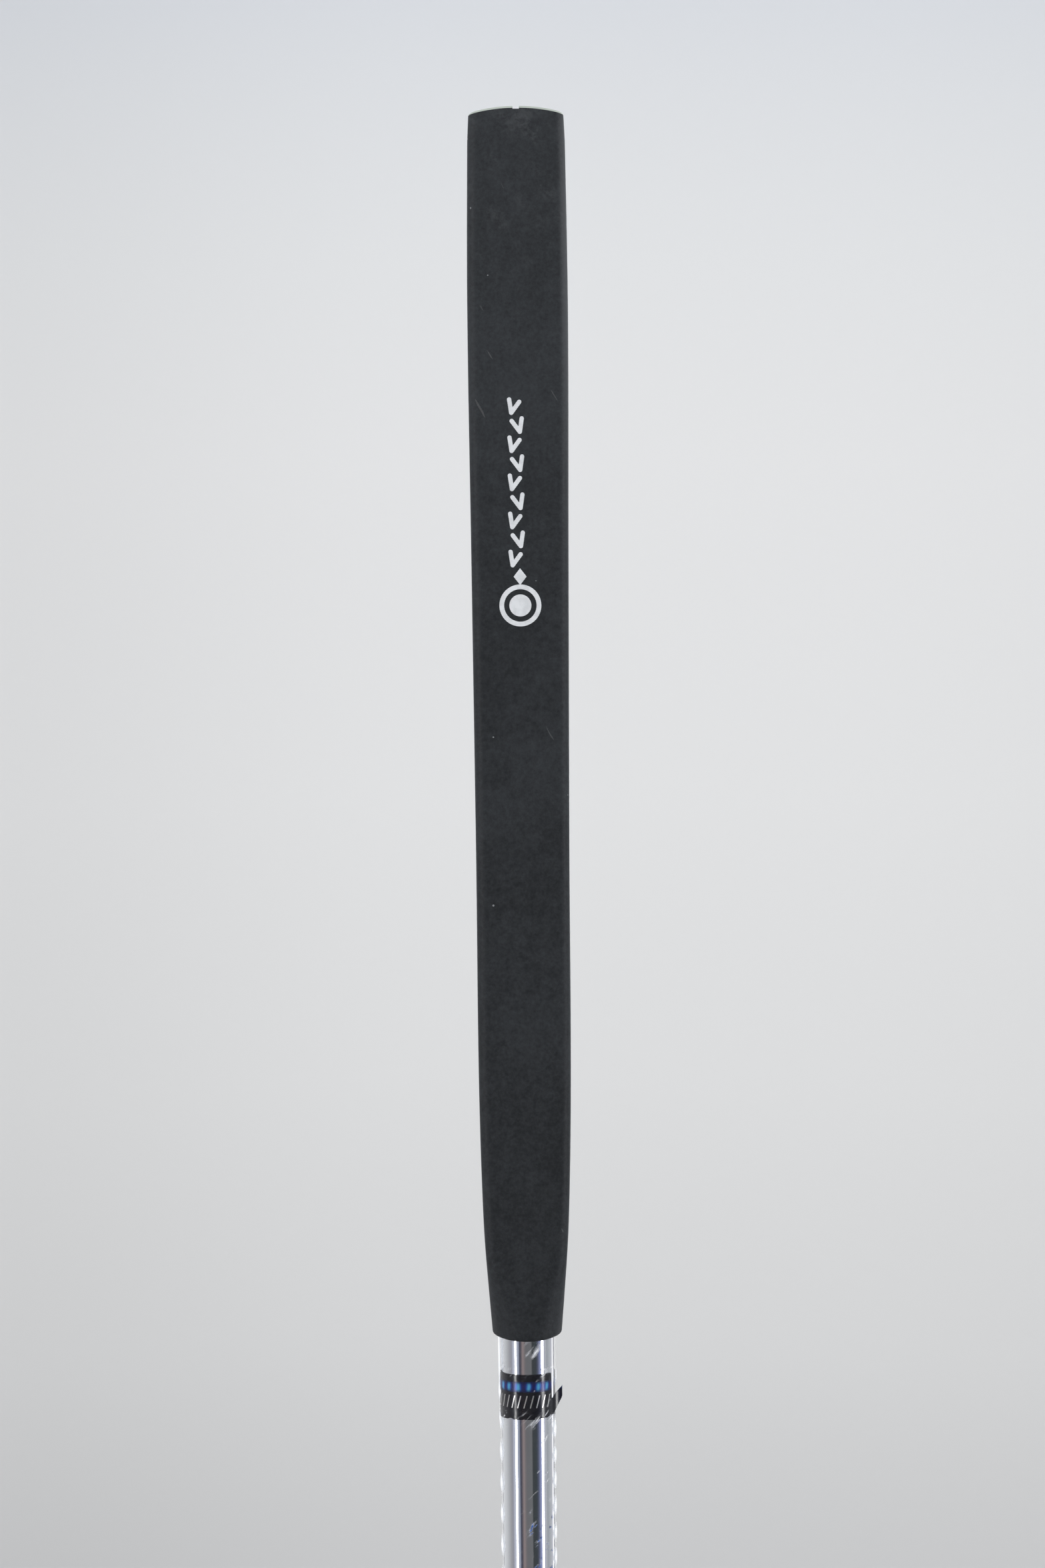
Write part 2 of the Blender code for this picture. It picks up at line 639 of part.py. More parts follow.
def grip_outline(above_mouth, inset=0.0):
    """The grip's section at a height: a flat front, small corners and a full round back."""
    mouth_radius = shaft_radius(MOUTH) + GAP + GRIP_MOUTH_WALL
    squared = smoothstep(above_mouth / GRIP_ROUNDING)
    flat_front = shaft_radius(MOUTH + above_mouth) + TAPE_ROOM + GRIP_FRONT_WALL
    half = mouth_radius + curve_through(GRIP_WIDENS, above_mouth) - inset
    back = mouth_radius + curve_through(GRIP_DEEPENS, above_mouth) - inset
    front = mix(mouth_radius, flat_front, squared) - inset
    corner = max(mix(GRIP_MOUTH_CORNER, GRIP_CORNER, squared) - inset, GAP)
    flat = half - corner
    shoulder = corner - front
    points = [(mix(-flat, flat, i / 6), -front) for i in range(1, 6)]
    points += arc(flat, shoulder, corner, -90, 0, 5)
    for i in range(1, 24):
        c, s = math.cos(math.pi * i / 24), math.sin(math.pi * i / 24)
        x = half * math.copysign(abs(c) ** (2 / GRIP_FULLNESS), c)
        points.append((x, shoulder + (back - shoulder) * s ** (2 / GRIP_FULLNESS)))
    points += arc(-flat, shoulder, corner, 180, 270, 5)
    return points


def crown(x, y):
    """How far the domed butt has fallen at a distance from the axis: little towards the front."""
    deep = y * y * (GRIP_CROWN_FRONT if y < 0 else 1.0)
    return (x * x + deep) / (2 * GRIP_CROWN_RADIUS)


def make_sleeve(rubber):
    """The rubber sleeve with a lip at its mouth and a seat for the cap in its butt."""
    club = bpy.data.objects["club_frame"]
    rings = []
    for a in (90, 60, 30, 0):
        rise = GRIP_EDGE * (1 - math.sin(math.radians(a)))
        inset = GRIP_EDGE * (1 - math.cos(math.radians(a)))
        rings.append([Vector((x, y, MOUTH + rise)) for x, y in grip_outline(rise, inset)])
    height = GRIP_EDGE
    while height < GRIP_LENGTH - CAP_DEPTH - 8 * MM:
        height += 3 * MM if height < GRIP_ROUNDING else 12 * MM
        rings.append([Vector((x, y, MOUTH + height)) for x, y in grip_outline(height)])
    top = GRIP_RIM - MOUTH
    for drop, inset in ((GRIP_EDGE, 0.0), (GRIP_EDGE / 4, GRIP_EDGE / 4), (0.0, GRIP_EDGE), (0.0, CAP_RIM)):
        rings.append([Vector((x, y, GRIP_RIM - drop - crown(x, y))) for x, y in grip_outline(top, inset)])
    rings.append([Vector((x, y, BUTT)) for x, y in grip_outline(top - CAP_DEPTH, CAP_RIM)])
    directions = [Vector((x, y, 0)).normalized() for x, y in grip_outline(GRIP_LENGTH / 2)]
    lip_top = MOUTH + GRIP_LIP
    for z, clearance in ((BUTT, TAPE_ROOM), (lip_top, TAPE_ROOM), (lip_top, GAP), (MOUTH, GAP)):
        radius = shaft_radius(z) + clearance
        rings.append([d * radius + Vector((0, 0, z)) for d in directions])
    sleeve = add_piece("grip_sleeve", rings, rubber, club, hollow=True)
    cut(sleeve, notch_cutter("cut_sleeve_notch"))


def notch_cutter(name):
    """The short groove across the front of the butt that shows where the flat is."""
    front = max(-y for _, y in grip_outline(GRIP_RIM - MOUTH))
    low = (-NOTCH_WIDTH / 2, -front - MM, GRIP_RIM - crown(0, -front) - NOTCH_DEPTH)
    high = (NOTCH_WIDTH / 2, NOTCH_REACH - front, CLUB_LENGTH + MM)
    return rounded_box(name, low, high, GAP, parent=bpy.data.objects["club_frame"])


def make_cap(rubber):
    """The domed plug in the butt, with a vent hole and the end of the groove."""
    club = bpy.data.objects["club_frame"]
    top = GRIP_RIM - MOUTH
    inset = CAP_RIM + GAP
    lowest = max(crown(x, y) for x, y in grip_outline(top, inset))
    rings = [[Vector((x, y, BUTT + GAP)) for x, y in grip_outline(top - CAP_DEPTH, 2 * inset)]]
    rings.append([Vector((x, y, GRIP_RIM - lowest - GAP)) for x, y in grip_outline(top, inset)])
    for share in (1.0, 0.75, 0.5, 0.25):
        lift = GRIP_RIM + CAP_PROUD * (1 - share**4)
        outline = [(x * share, y * share) for x, y in grip_outline(top, inset + GAP)]
        rings.append([Vector((x, y, lift - crown(x, y))) for x, y in outline])
    cap = add_piece("grip_cap", rings, rubber, club)
    vent = ((CAP_VENT_RADIUS, BUTT), (CAP_VENT_RADIUS, CLUB_LENGTH + MM))
    cut(cap, turned("cut_vent", vent, parent=club, sides=SMALL_SIDES))
    cut(cap, notch_cutter("cut_cap_notch"))


def make_tape(cloth):
    """The double-sided tape laid lengthways round the butt of the shaft, with its seam."""
    club = bpy.data.objects["club_frame"]
    bottom, top = MOUTH + GRIP_LIP + GAP, BUTT - TAPE_BELOW_BUTT
    rings = []
    for i in range(29):
        a = -math.pi / 2 + TAPE_SEAM / 2 + (2 * math.pi - TAPE_SEAM) * i / 28
        outward = Vector((math.cos(a), -math.sin(a), 0))
        ring = []
        for z, deep in ((bottom, 0), (bottom, TAPE_THICK), (top, TAPE_THICK), (top, 0)):
            ring.append(outward * (shaft_radius(z) + GAP + deep) + Vector((0, 0, z)))
        rings.append(ring)
    add_piece("grip_tape", rings, cloth, club)


def main():
    """Clears the scene and makes every piece of the club."""
    clear_scene()
    frame_at("club_frame", (SHAFT_X, SHAFT_GROUND_Y, 0), (LIE - math.pi / 2, 0, 0))
    frame_at("face_frame", (HEAD_FRONT, 0, 0), (0, -LOFT, 0))
    steel = paint("satin_steel", (0.56, 0.57, 0.58), 0.28, 1.0)
    chrome = paint("shaft_chrome", (0.80, 0.81, 0.83), 0.05, 1.0)
    rubber = paint("grip_rubber", (0.028, 0.031, 0.034), 0.75)
    make_head(steel)
    make_sight_line(paint("sight_enamel", (0.85, 0.85, 0.83), 0.4))
    screw_steel = paint("screw_steel", (0.25, 0.25, 0.26), 0.35, 1.0)
    insert_alloy = paint("insert_alloy", (0.30, 0.31, 0.33), 0.4, 1.0)
    make_insert(insert_alloy, paint("pad_foam", (0.05, 0.05, 0.06), 0.9), screw_steel)
    weight_steel = paint("weight_steel", (0.45, 0.45, 0.46), 0.3, 1.0)
    make_weights(weight_steel, paint("ring_rubber", (0.02, 0.02, 0.02), 0.6))
    make_neck(steel)
    make_neck_screws(screw_steel)
    make_ferrule(paint("ferrule_black", (0.01, 0.01, 0.012), 0.15))
    make_shaft(chrome)
    make_band(paint("band_vinyl", (0.02, 0.03, 0.06), 0.25))
    make_film(paint("clear_wrap", (0.9, 0.92, 0.95), 0.08, alpha=0.2))
    make_sleeve(rubber)
    make_cap(rubber)
    make_tape(paint("grip_tape", (0.75, 0.68, 0.52), 0.9))


main()
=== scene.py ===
"""Finished look of a right-handed blade putter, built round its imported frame.

Every piece is made in the frame's own metres. The shaft, the grip and all that sits on them
are drawn in the club's axes, whose Z runs up the shaft from the ground. The face insert is
drawn in the face's axes, whose X comes out of the lofted face.
"""

from __future__ import annotations

import json
import logging
import math
from dataclasses import dataclass, field
from enum import Enum
from typing import Any, Callable, Sequence

import bmesh
import bpy
from mathutils import Matrix, Vector, noise

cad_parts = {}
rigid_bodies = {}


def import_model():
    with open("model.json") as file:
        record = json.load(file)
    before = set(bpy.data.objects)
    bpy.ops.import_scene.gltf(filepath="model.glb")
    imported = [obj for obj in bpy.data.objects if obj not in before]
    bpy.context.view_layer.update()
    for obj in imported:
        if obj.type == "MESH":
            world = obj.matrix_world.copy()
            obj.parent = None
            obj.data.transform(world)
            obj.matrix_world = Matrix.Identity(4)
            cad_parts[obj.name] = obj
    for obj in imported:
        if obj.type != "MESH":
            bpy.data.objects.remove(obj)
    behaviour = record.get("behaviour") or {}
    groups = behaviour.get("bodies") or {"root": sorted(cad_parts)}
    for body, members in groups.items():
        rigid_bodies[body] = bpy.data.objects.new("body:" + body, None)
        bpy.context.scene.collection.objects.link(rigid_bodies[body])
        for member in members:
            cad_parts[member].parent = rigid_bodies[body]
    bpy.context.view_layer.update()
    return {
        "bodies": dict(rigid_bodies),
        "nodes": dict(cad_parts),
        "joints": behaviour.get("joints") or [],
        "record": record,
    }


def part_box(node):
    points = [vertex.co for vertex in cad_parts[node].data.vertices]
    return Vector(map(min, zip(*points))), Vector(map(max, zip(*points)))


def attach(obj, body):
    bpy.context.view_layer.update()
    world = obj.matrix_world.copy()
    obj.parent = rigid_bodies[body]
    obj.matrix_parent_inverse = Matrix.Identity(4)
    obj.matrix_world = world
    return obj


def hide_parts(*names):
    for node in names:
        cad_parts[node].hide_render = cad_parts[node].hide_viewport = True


MM = 0.001
LOG = logging.getLogger("putter")
Ring = list[Vector]
Colour = tuple[float, float, float]
Stations = tuple[tuple[float, float], ...]


# ------------------------------------------------------------------ sums


def mix(low: float, high: float, share: float) -> float:
    """Goes from low to high as share goes from 0 to 1."""
    return low + (high - low) * share


def smoothstep(share: float) -> float:
    """Eases a share from 0 to 1."""
    share = min(max(share, 0.0), 1.0)
    return share * share * (3 - 2 * share)


def tone(red: int, green: int, blue: int) -> Colour:
    """Turns display values from 0 to 255 into a scene colour."""
    shares = [value / 255 for value in (red, green, blue)]
    linear = [s / 12.92 if s <= 0.04045 else ((s + 0.055) / 1.055) ** 2.4 for s in shares]
    return linear[0], linear[1], linear[2]


def smooth_curve(stations: Sequence[tuple[float, float]], at: float) -> float:
    """Reads a smooth curve through (height, value) stations.

    Args:
        stations: Heights in rising order, each with its value.
        at: The height to read, held to the first and last station.

    Returns:
        The value at that height.
    """
    last = len(stations) - 1
    slopes = []
    for i in range(last + 1):
        (h0, v0), (h1, v1) = stations[max(i - 1, 0)], stations[min(i + 1, last)]
        slopes.append((v1 - v0) / (h1 - h0))
    at = min(max(at, stations[0][0]), stations[last][0])
    i = max(k for k in range(last) if stations[k][0] <= at)
    (h0, v0), (h1, v1) = stations[i], stations[i + 1]
    span = h1 - h0
    t, rise = (at - h0) / span, v1 - v0
    start, end = slopes[i] * span, slopes[i + 1] * span
    bend, twist = 3 * rise - 2 * start - end, start + end - 2 * rise
    return v0 + start * t + bend * t**2 + twist * t**3


def arc(centre: tuple[float, float], radius: float, start: float, end: float, steps: int) -> list:
    """Points along an arc in a plane, ends included.

    Args:
        centre: The arc's centre.
        radius: Its radius.
        start: The first angle, in degrees.
        end: The last angle, in degrees.
        steps: How many chords it has.

    Returns:
        A list of (a, b) points.
    """
    angles = [math.radians(mix(start, end, i / steps)) for i in range(steps + 1)]
    return [(centre[0] + radius * math.cos(a), centre[1] + radius * math.sin(a)) for a in angles]


# ------------------------------------------------------------------ frames


@dataclass(frozen=True)
class Axes:
    """A set of axes on the object."""

    matrix: Matrix

    @classmethod
    def from_mount(cls, record: dict, name: str, along: str) -> Axes:
        """Reads axes that start where a mount's plane or line meets the ground.

        Args:
            record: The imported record.
            name: The mount's name.
            along: "Z" if the mount's axis is this frame's Z, or "X".

        Returns:
            The axes.
        """
        mount = next(m for m in record["mounts"] if m["name"] == name)
        point, axis = Vector(mount["pos_m"]), Vector(mount["axis"]).normalized()
        if along == "Z":
            z, x = axis, Vector((1, 0, 0))
            y = z.cross(x)
        else:
            x, y = axis, Vector((0, 1, 0))
            z = x.cross(y)
        origin = point - z * (point.z / z.z)
        columns = Matrix((x, y, z)).transposed().to_4x4()
        return cls(Matrix.Translation(origin) @ columns)

    def place(self, obj: bpy.types.Object) -> bpy.types.Object:
        """Moves a mesh drawn in these axes to its place on the object."""
        obj.data.transform(self.matrix)
        return obj

    def span(self, node: bpy.types.Object) -> tuple[Vector, Vector]:
        """Gives a node's lowest and highest corner in these axes."""
        back = self.matrix.inverted()
        points = [back @ v.co for v in node.data.vertices]
        low = Vector(tuple(min(p[i] for p in points) for i in range(3)))
        high = Vector(tuple(max(p[i] for p in points) for i in range(3)))
        return low, high


OWN = Axes(Matrix.Identity(4))


def middle(box: Sequence[Vector]) -> Vector:
    """Gives the middle of a box from its two corners."""
    return (box[0] + box[1]) / 2


# ------------------------------------------------------------------ node trees


class Wire:
    """One output in a node tree, with arithmetic that adds the nodes it needs."""

    def __init__(self, tree: Tree, socket: bpy.types.NodeSocket) -> None:
        """Keeps the tree and the socket."""
        self.tree = tree
        self.socket = socket

    def maths(self, operation: str, *others: Any) -> Wire:
        """Adds one Math node fed by this value and the others."""
        values = dict(enumerate((self, *others)))
        return self.tree.node("ShaderNodeMath", {"operation": operation}, values)

    def __add__(self, other: Any) -> Wire:
        """Adds."""
        return self.maths("ADD", other)

    __radd__ = __add__

    def __sub__(self, other: Any) -> Wire:
        """Takes other away."""
        return self.maths("SUBTRACT", other)

    def __rsub__(self, other: Any) -> Wire:
        """Is taken away from other."""
        return self.tree.node("ShaderNodeMath", {"operation": "SUBTRACT"}, {0: other, 1: self})

    def __mul__(self, other: Any) -> Wire:
        """Multiplies."""
        return self.maths("MULTIPLY", other)

    __rmul__ = __mul__

    def __truediv__(self, other: Any) -> Wire:
        """Divides by other."""
        return self.maths("DIVIDE", other)

    def rise(self, low: float, high: float) -> Wire:
        """Goes smoothly from 0 at low to 1 at high."""
        settings = {"interpolation_type": "SMOOTHSTEP"}
        return self.tree.node("ShaderNodeMapRange", settings, {0: self, 1: low, 2: high})

    def band(self, low: float, high: float, soft: float) -> Wire:
        """Is 1 between low and high and fades out over a soft edge."""
        return self.rise(low - soft, low) * (1 - self.rise(high, high + soft))

    def ramp(self, stops: Sequence[tuple[float, Colour]]) -> Wire:
        """Reads a colour ramp."""
        return self.tree.node("ShaderNodeValToRGB", {"stops": stops}, {0: self})


class Tree:
    """Adds nodes to a tree."""

    def __init__(self, tree: bpy.types.NodeTree) -> None:
        """Keeps the tree."""
        self.tree = tree

    def feed(self, socket: bpy.types.NodeSocket, value: Any) -> None:
        """Links a wire to a socket, or sets the socket's own value."""
        if isinstance(value, Wire):
            self.tree.links.new(value.socket, socket)
        elif isinstance(value, tuple) and socket.type == "RGBA":
            socket.default_value = (*value, 1.0)
        else:
            socket.default_value = value

    def node(
        self,
        kind: str,
        settings: dict[str, Any] | None = None,
        values: dict[Any, Any] | None = None,
        output: int | str = 0,
    ) -> Wire:
        """Adds any node.

        Args:
            kind: The node's type.
            settings: Properties, set before the sockets, and "stops" for a ramp.
            values: Values or wires by socket name or number.
            output: The output that the wire comes from.

        Returns:
            The wire.
        """
        made = self.tree.nodes.new(kind)
        for key, value in (settings or {}).items():
            if key == "stops":
                self.fill_ramp(made.color_ramp, value)
            else:
                setattr(made, key, value)
        for key, value in (values or {}).items():
            self.feed(made.inputs[key], value)
        return Wire(self, made.outputs[output])

    @staticmethod
    def fill_ramp(ramp: bpy.types.ColorRamp, stops: Sequence[tuple[float, Colour]]) -> None:
        """Sets a ramp's stops."""
        while len(ramp.elements) < len(stops):
            ramp.elements.new(1.0)
        for element, (place, colour) in zip(ramp.elements, stops):
            element.position = place
            element.color = (*colour, 1.0)

    def blend(self, factor: Any, first: Any, second: Any) -> Wire:
        """Mixes two colours."""
        values = {0: factor, 6: first, 7: second}
        return self.node("ShaderNodeMix", {"data_type": "RGBA"}, values, output=2)

    def noise(self, vector: Wire, scale: float, detail: float = 2.0, rough: float = 0.5) -> Wire:
        """Reads smooth noise between about 0 and 1."""
        values = {"Vector": vector, "Scale": scale, "Detail": detail, "Roughness": rough}
        return self.node("ShaderNodeTexNoise", {}, values)

    def stretch(self, vector: Wire, scale: tuple[float, float, float], turn: float = 0.0) -> Wire:
        """Scales a vector, after turning it about Y."""
        turned = self.node("ShaderNodeMapping", {}, {"Vector": vector, "Rotation": (0.0, turn, 0.0)})
        return self.node("ShaderNodeMapping", {}, {"Vector": turned, "Scale": scale})

    def parts(self, vector: Wire) -> list[Wire]:
        """Splits a vector into its three numbers."""
        first = self.node("ShaderNodeSeparateXYZ", {}, {0: vector})
        return [Wire(self, first.socket.node.outputs[i]) for i in range(3)]

    def within(self, axes: Axes) -> Wire:
        """Gives the object's own coordinates in a set of axes."""
        place, turn, _ = axes.matrix.decompose()
        own = self.node("ShaderNodeTexCoord", output="Object")
        values = {"Vector": own, "Location": place, "Rotation": turn.to_euler()}
        return self.node("ShaderNodeMapping", {"vector_type": "TEXTURE"}, values)

    def bump(self, height: Wire, distance: float, strength: float = 1.0) -> Wire:
        """Turns a height between 0 and 1 into a bumped normal."""
        values = {"Height": height, "Distance": distance, "Strength": strength}
        return self.node("ShaderNodeBump", {}, values)

    def end(self, wire: Wire) -> None:
        """Ends a geometry tree with its output."""
        out = self.tree.nodes.new("NodeGroupOutput")
        self.tree.links.new(wire.socket, out.inputs[0])


# ------------------------------------------------------------------ finishes


@dataclass(frozen=True)
class Finish:
    """A surface finish. Each kind of finish fills in its own node tree."""

    name: str
    axes: Axes
    colour: Colour = (0.5, 0.5, 0.5)
    roughness: float = 0.5
    metallic: float = 0.0

    def shade(self, level: float) -> Colour:
        """Gives the finish's colour, darker or lighter."""
        red, green, blue = self.colour
        return red * level, green * level, blue * level

    def dress(self, tree: Tree, coords: Wire) -> dict[str, Any]:
        """Gives the shader's inputs. A plain finish has a faint mottle and grain.

        Args:
            tree: The material's tree.
            coords: The surface's place in the finish's axes.

        Returns:
            Values or wires by the Principled shader's socket names.
        """
        mottle = tree.noise(coords, 160.0, 4.0)
        return {
            "Base Color": tree.blend(mottle.rise(0.3, 0.75), self.shade(0.82), self.colour),
            "Roughness": mottle * 0.12 + (self.roughness - 0.06),
            "Normal": tree.bump(tree.noise(coords, 2400.0, 3.0), 0.02 * MM),
        }

    def material(self) -> bpy.types.Material:
        """Makes the material, or returns it if it exists."""
        name = self.name + "_finish"
        made = bpy.data.materials.get(name)
        if made:
            return made
        made = bpy.data.materials.new(name)
        made.use_nodes = True
        shader = made.node_tree.nodes["Principled BSDF"]
        tree = Tree(made.node_tree)
        tree.feed(shader.inputs["Metallic"], self.metallic)
        for socket, value in self.dress(tree, tree.within(self.axes)).items():
            tree.feed(shader.inputs[socket], value)
        return made


@dataclass(frozen=True)
class GripRubber(Finish):
    """Charcoal moulded rubber with a fine grain, faint scuffs and specks of dust, painted lighter towards the
    top, and with a painted highlight along the butt's rim.
    """

    dust: float = 1.0
    rim: float = 1.0
    crown: float = 41 * MM
    depth_share: float = 0.2
    scuff_and_edge_tone: Colour = (0.19, 0.195, 0.20)
    rim_highlight_tone: Colour = (0.60, 0.65, 0.58)
    lint_tone: Colour = (0.16, 0.16, 0.16)
    dust_tone: Colour = (0.42, 0.43, 0.44)

    def dress(self, tree: Tree, coords: Wire) -> dict[str, Any]:
        """Mottles, scuffs and dusts the rubber, paints it lighter towards the top, lightens its right front
        edge near the top, and paints a highlight along the rim.
        """
        broad = tree.noise(coords, 45.0, 5.0, 0.6)
        fine = tree.noise(coords, 900.0, 4.0, 0.65)
        x, y, z = tree.parts(coords)
        grain = tree.noise(coords, 1150.0, 3.0, 0.75)
        patches = tree.noise(coords, 360.0, 6.0, 0.75)
        cloud = (broad * 0.5 + patches * 0.5).rise(0.36, 0.64) * 0.42 - 0.04
        # painted light: the z term makes the rubber lighter towards the top of the grip, as the light falls
        # on it
        lit = cloud + z.rise(0.57, 0.86) * 0.42 + (grain - 0.5) * 1.5 + 0.1
        shade = tree.blend(lit, self.shade(0.60), self.shade(1.42))
        rubbed = tree.noise(tree.stretch(coords, (230.0, 230.0, 60.0), 0.6), 1.0, 3.0, 0.6)
        handled = rubbed.rise(0.50, 0.74) * patches.rise(0.44, 0.62) * z.rise(0.80, 0.86) * 0.16
        # the right front edge near the top is lightened towards the scuff colour
        right_edge_lightening = x.rise(9.6 * MM, 11.4 * MM) * z.rise(0.74, 0.84) * 0.28
        shade = tree.blend(handled + right_edge_lightening, shade, self.scuff_and_edge_tone)
        ahead, behind = y.maths("MINIMUM", 0.0), y.maths("MAXIMUM", 0.0)
        fallen = (x * x + ahead * ahead * self.depth_share + behind * behind) / (2 * self.crown)
        level = z + fallen
        # painted highlight: a pale line along the rounded rim of the domed butt, where the edge catches the
        # light
        worn = level.band(self.rim - 0.55 * MM, self.rim - 0.07 * MM, 0.06 * MM) * 0.9
        shade = tree.blend(worn, shade, self.rim_highlight_tone)
        cells = {"Vector": coords, "Scale": 190.0, "Randomness": 1.0}
        near = tree.node("ShaderNodeTexVoronoi", {"feature": "F1"}, cells, output="Distance")
        chance = tree.parts(tree.node("ShaderNodeTexVoronoi", {"feature": "F1"}, cells, output="Color"))
        specks = (1 - near.rise(0.03, 0.055)) * chance[0].rise(0.60, 0.64) * self.dust
        lint = tree.noise(tree.stretch(coords, (700.0, 700.0, 90.0), 0.5), 1.0, 2.0)
        threads = lint.rise(0.735, 0.76) * broad.rise(0.45, 0.6) * (0.35 * self.dust)
        linty = tree.blend(threads, shade, self.lint_tone)
        pores = tree.noise(coords, 3800.0, 3.0, 0.6)
        return {
            "Base Color": tree.blend(specks * 0.6, linty, self.dust_tone),
            "Roughness": broad * 0.16 + fine * 0.10 + (self.roughness - 0.13),
            "Normal": tree.bump(pores * 0.4 + grain * 0.6, 0.07 * MM),
            "Specular IOR Level": 0.2,
        }


@dataclass(frozen=True)
class PaintFill(Finish):
    """White paint run into moulded marks, dirtied unevenly with grey."""

    def dress(self, tree: Tree, coords: Wire) -> dict[str, Any]:
        """Dirties the paint unevenly."""
        grime = tree.noise(coords, 520.0, 4.0, 0.6)
        worn = tree.noise(coords, 2600.0, 3.0, 0.7)
        base = tree.blend(grime.rise(0.35, 0.7), self.colour, self.shade(0.86))
        return {
            "Base Color": tree.blend(worn.rise(0.66, 0.74) * 0.5, base, (0.30, 0.31, 0.32)),
            "Roughness": grime * 0.2 + self.roughness,
            "Normal": tree.bump(worn, 0.03 * MM),
        }


@dataclass(frozen=True)
class Chrome(Finish):
    """Bright plating with hair scratches round the tube and a few dull patches."""

    def dress(self, tree: Tree, coords: Wire) -> dict[str, Any]:
        """Scratches and hazes the plating."""
        haze = tree.noise(coords, 70.0, 3.0)
        hairs = tree.noise(tree.stretch(coords, (900.0, 900.0, 120.0), 0.7), 1.0, 3.0, 0.7)
        dips = tree.noise(tree.stretch(coords, (260.0, 260.0, 12.0)), 1.0, 2.0)
        return {
            "Base Color": tree.blend(haze, self.colour, self.shade(0.93)),
            "Roughness": haze.rise(0.45, 0.8) * 0.03 + hairs.rise(0.62, 0.8) * 0.12 + self.roughness,
            "Normal": tree.bump(dips * 0.8 + hairs * 0.2, 0.006 * MM),
        }


@dataclass(frozen=True)
class ClearFilm(Finish):
    """Clear wrap painted white along its side folds as a painted reflection and glow, and white where it is
    scuffed.
    """

    mouth: float = 0.5776
    band: float = 0.559

    def dress(self, tree: Tree, coords: Wire) -> dict[str, Any]:
        """Whitens the folds as a painted reflection and glow, whitens the scuffs, and leaves the rest nearly
        invisible.
        """
        crease = tree.node("ShaderNodeAttribute", {"attribute_name": "crease"}, output="Fac")
        x, _, z = tree.parts(coords)
        slant = tree.noise(tree.stretch(coords, (1100.0, 500.0, 160.0), -0.75), 1.0, 3.0, 0.6)
        cloud = tree.noise(coords, 300.0, 3.0, 0.6)
        near_mouth = z.band(self.mouth - 3.2 * MM, self.mouth, 1.5 * MM)
        near_mouth = near_mouth * x.band(-0.2 * MM, 2.8 * MM, 0.9 * MM)
        under_band = z.band(self.band - 12.0 * MM, self.band - 9.4 * MM, 1.0 * MM)
        near_band = under_band + z.band(self.band, self.band + 1.0 * MM, 0.8 * MM)
        streaks = slant.rise(0.60, 0.70) * cloud.rise(0.42, 0.62)
        fringe = x.band(1.4 * MM, 4.6 * MM, 1.0 * MM)
        scuff = near_mouth * slant.rise(0.48, 0.64) * 0.34 + near_band * slant.rise(0.56, 0.68) * 0.4
        low = z.band(self.mouth - 53.0 * MM, self.mouth - 42.0 * MM, 3.0 * MM)
        bruise = slant.rise(0.57, 0.64) * cloud.rise(0.47, 0.57) * low
        bruise = bruise * x.band(0.6 * MM, 5.2 * MM, 0.8 * MM)
        # painted reflection: along the folds the film turns opaque white where the lights would reflect in
        # it; the scuffs and streaks are the film's own marks
        alpha = crease * 0.95 + scuff + streaks * fringe * 0.42 + streaks * 0.05 + bruise * 0.7 + 0.004
        return {
            "Base Color": tree.blend(bruise * 1.3, self.colour, (0.06, 0.15, 0.45)),
            "Roughness": self.roughness,
            "Alpha": alpha.maths("MINIMUM", 1.0),
            # painted glow: the folds also give off a little white light, though the film is no lamp
            "Emission Color": tree.blend(crease, (0.0, 0.0, 0.0), (0.26, 0.27, 0.28)),
            "Emission Strength": 1.0,
            "Normal": tree.bump(slant, 0.03 * MM, 0.6),
        }


@dataclass(frozen=True)
class BandPrint(Finish):
    """Black film with a stripe of foil whose colour runs from blue to violet round the shaft, with the foil's
    glints painted in.
    """

    top: float = 0.569
    stripe: tuple[float, float] = (1.6 * MM, 4.0 * MM)
    glints: int = 17

    def dress(self, tree: Tree, coords: Wire) -> dict[str, Any]:
        """Prints the stripe on the film, with painted glints."""
        x, y, z = tree.parts(coords)
        depth = self.top - z
        low, high = self.stripe
        foil = depth.band(low, high, 0.12 * MM)
        angle = x.maths("ARCTAN2", y * -1)
        wobble = tree.noise(coords, 260.0, 2.0)
        # painted glints: bright blue spots round the shaft, about one per 21 degrees, stand in for the foil's
        # reflections
        phase = (angle * float(self.glints) + wobble * 3.0).maths("SINE") * 0.5 + 0.5
        hue = phase.ramp(
            (
                (0.0, tone(34, 30, 86)),
                (0.4, tone(30, 54, 128)),
                (0.75, tone(52, 112, 186)),
                (1.0, tone(84, 168, 206)),
            )
        )
        # the painted glints are brightest at the stripe's mid-height
        fade = depth.band(low + 0.95 * MM, high - 0.95 * MM, 1.0 * MM)
        foil_and_painted_glints = tree.blend(fade, tone(20, 26, 60), hue)
        rub = tree.noise(tree.stretch(coords, (420.0, 420.0, 420.0)), 1.0, 5.0, 0.7)
        worn = rub.rise(0.62, 0.72) * depth.rise(7.6 * MM, 10.6 * MM)
        ink = tree.blend(worn, self.colour, (0.42, 0.43, 0.44))
        return {
            "Base Color": tree.blend(foil, ink, foil_and_painted_glints),
            "Metallic": foil * 0.25,
            "Roughness": foil * 0.08 + rub * 0.05 + self.roughness,
            "Normal": tree.bump(rub, 0.02 * MM),
        }


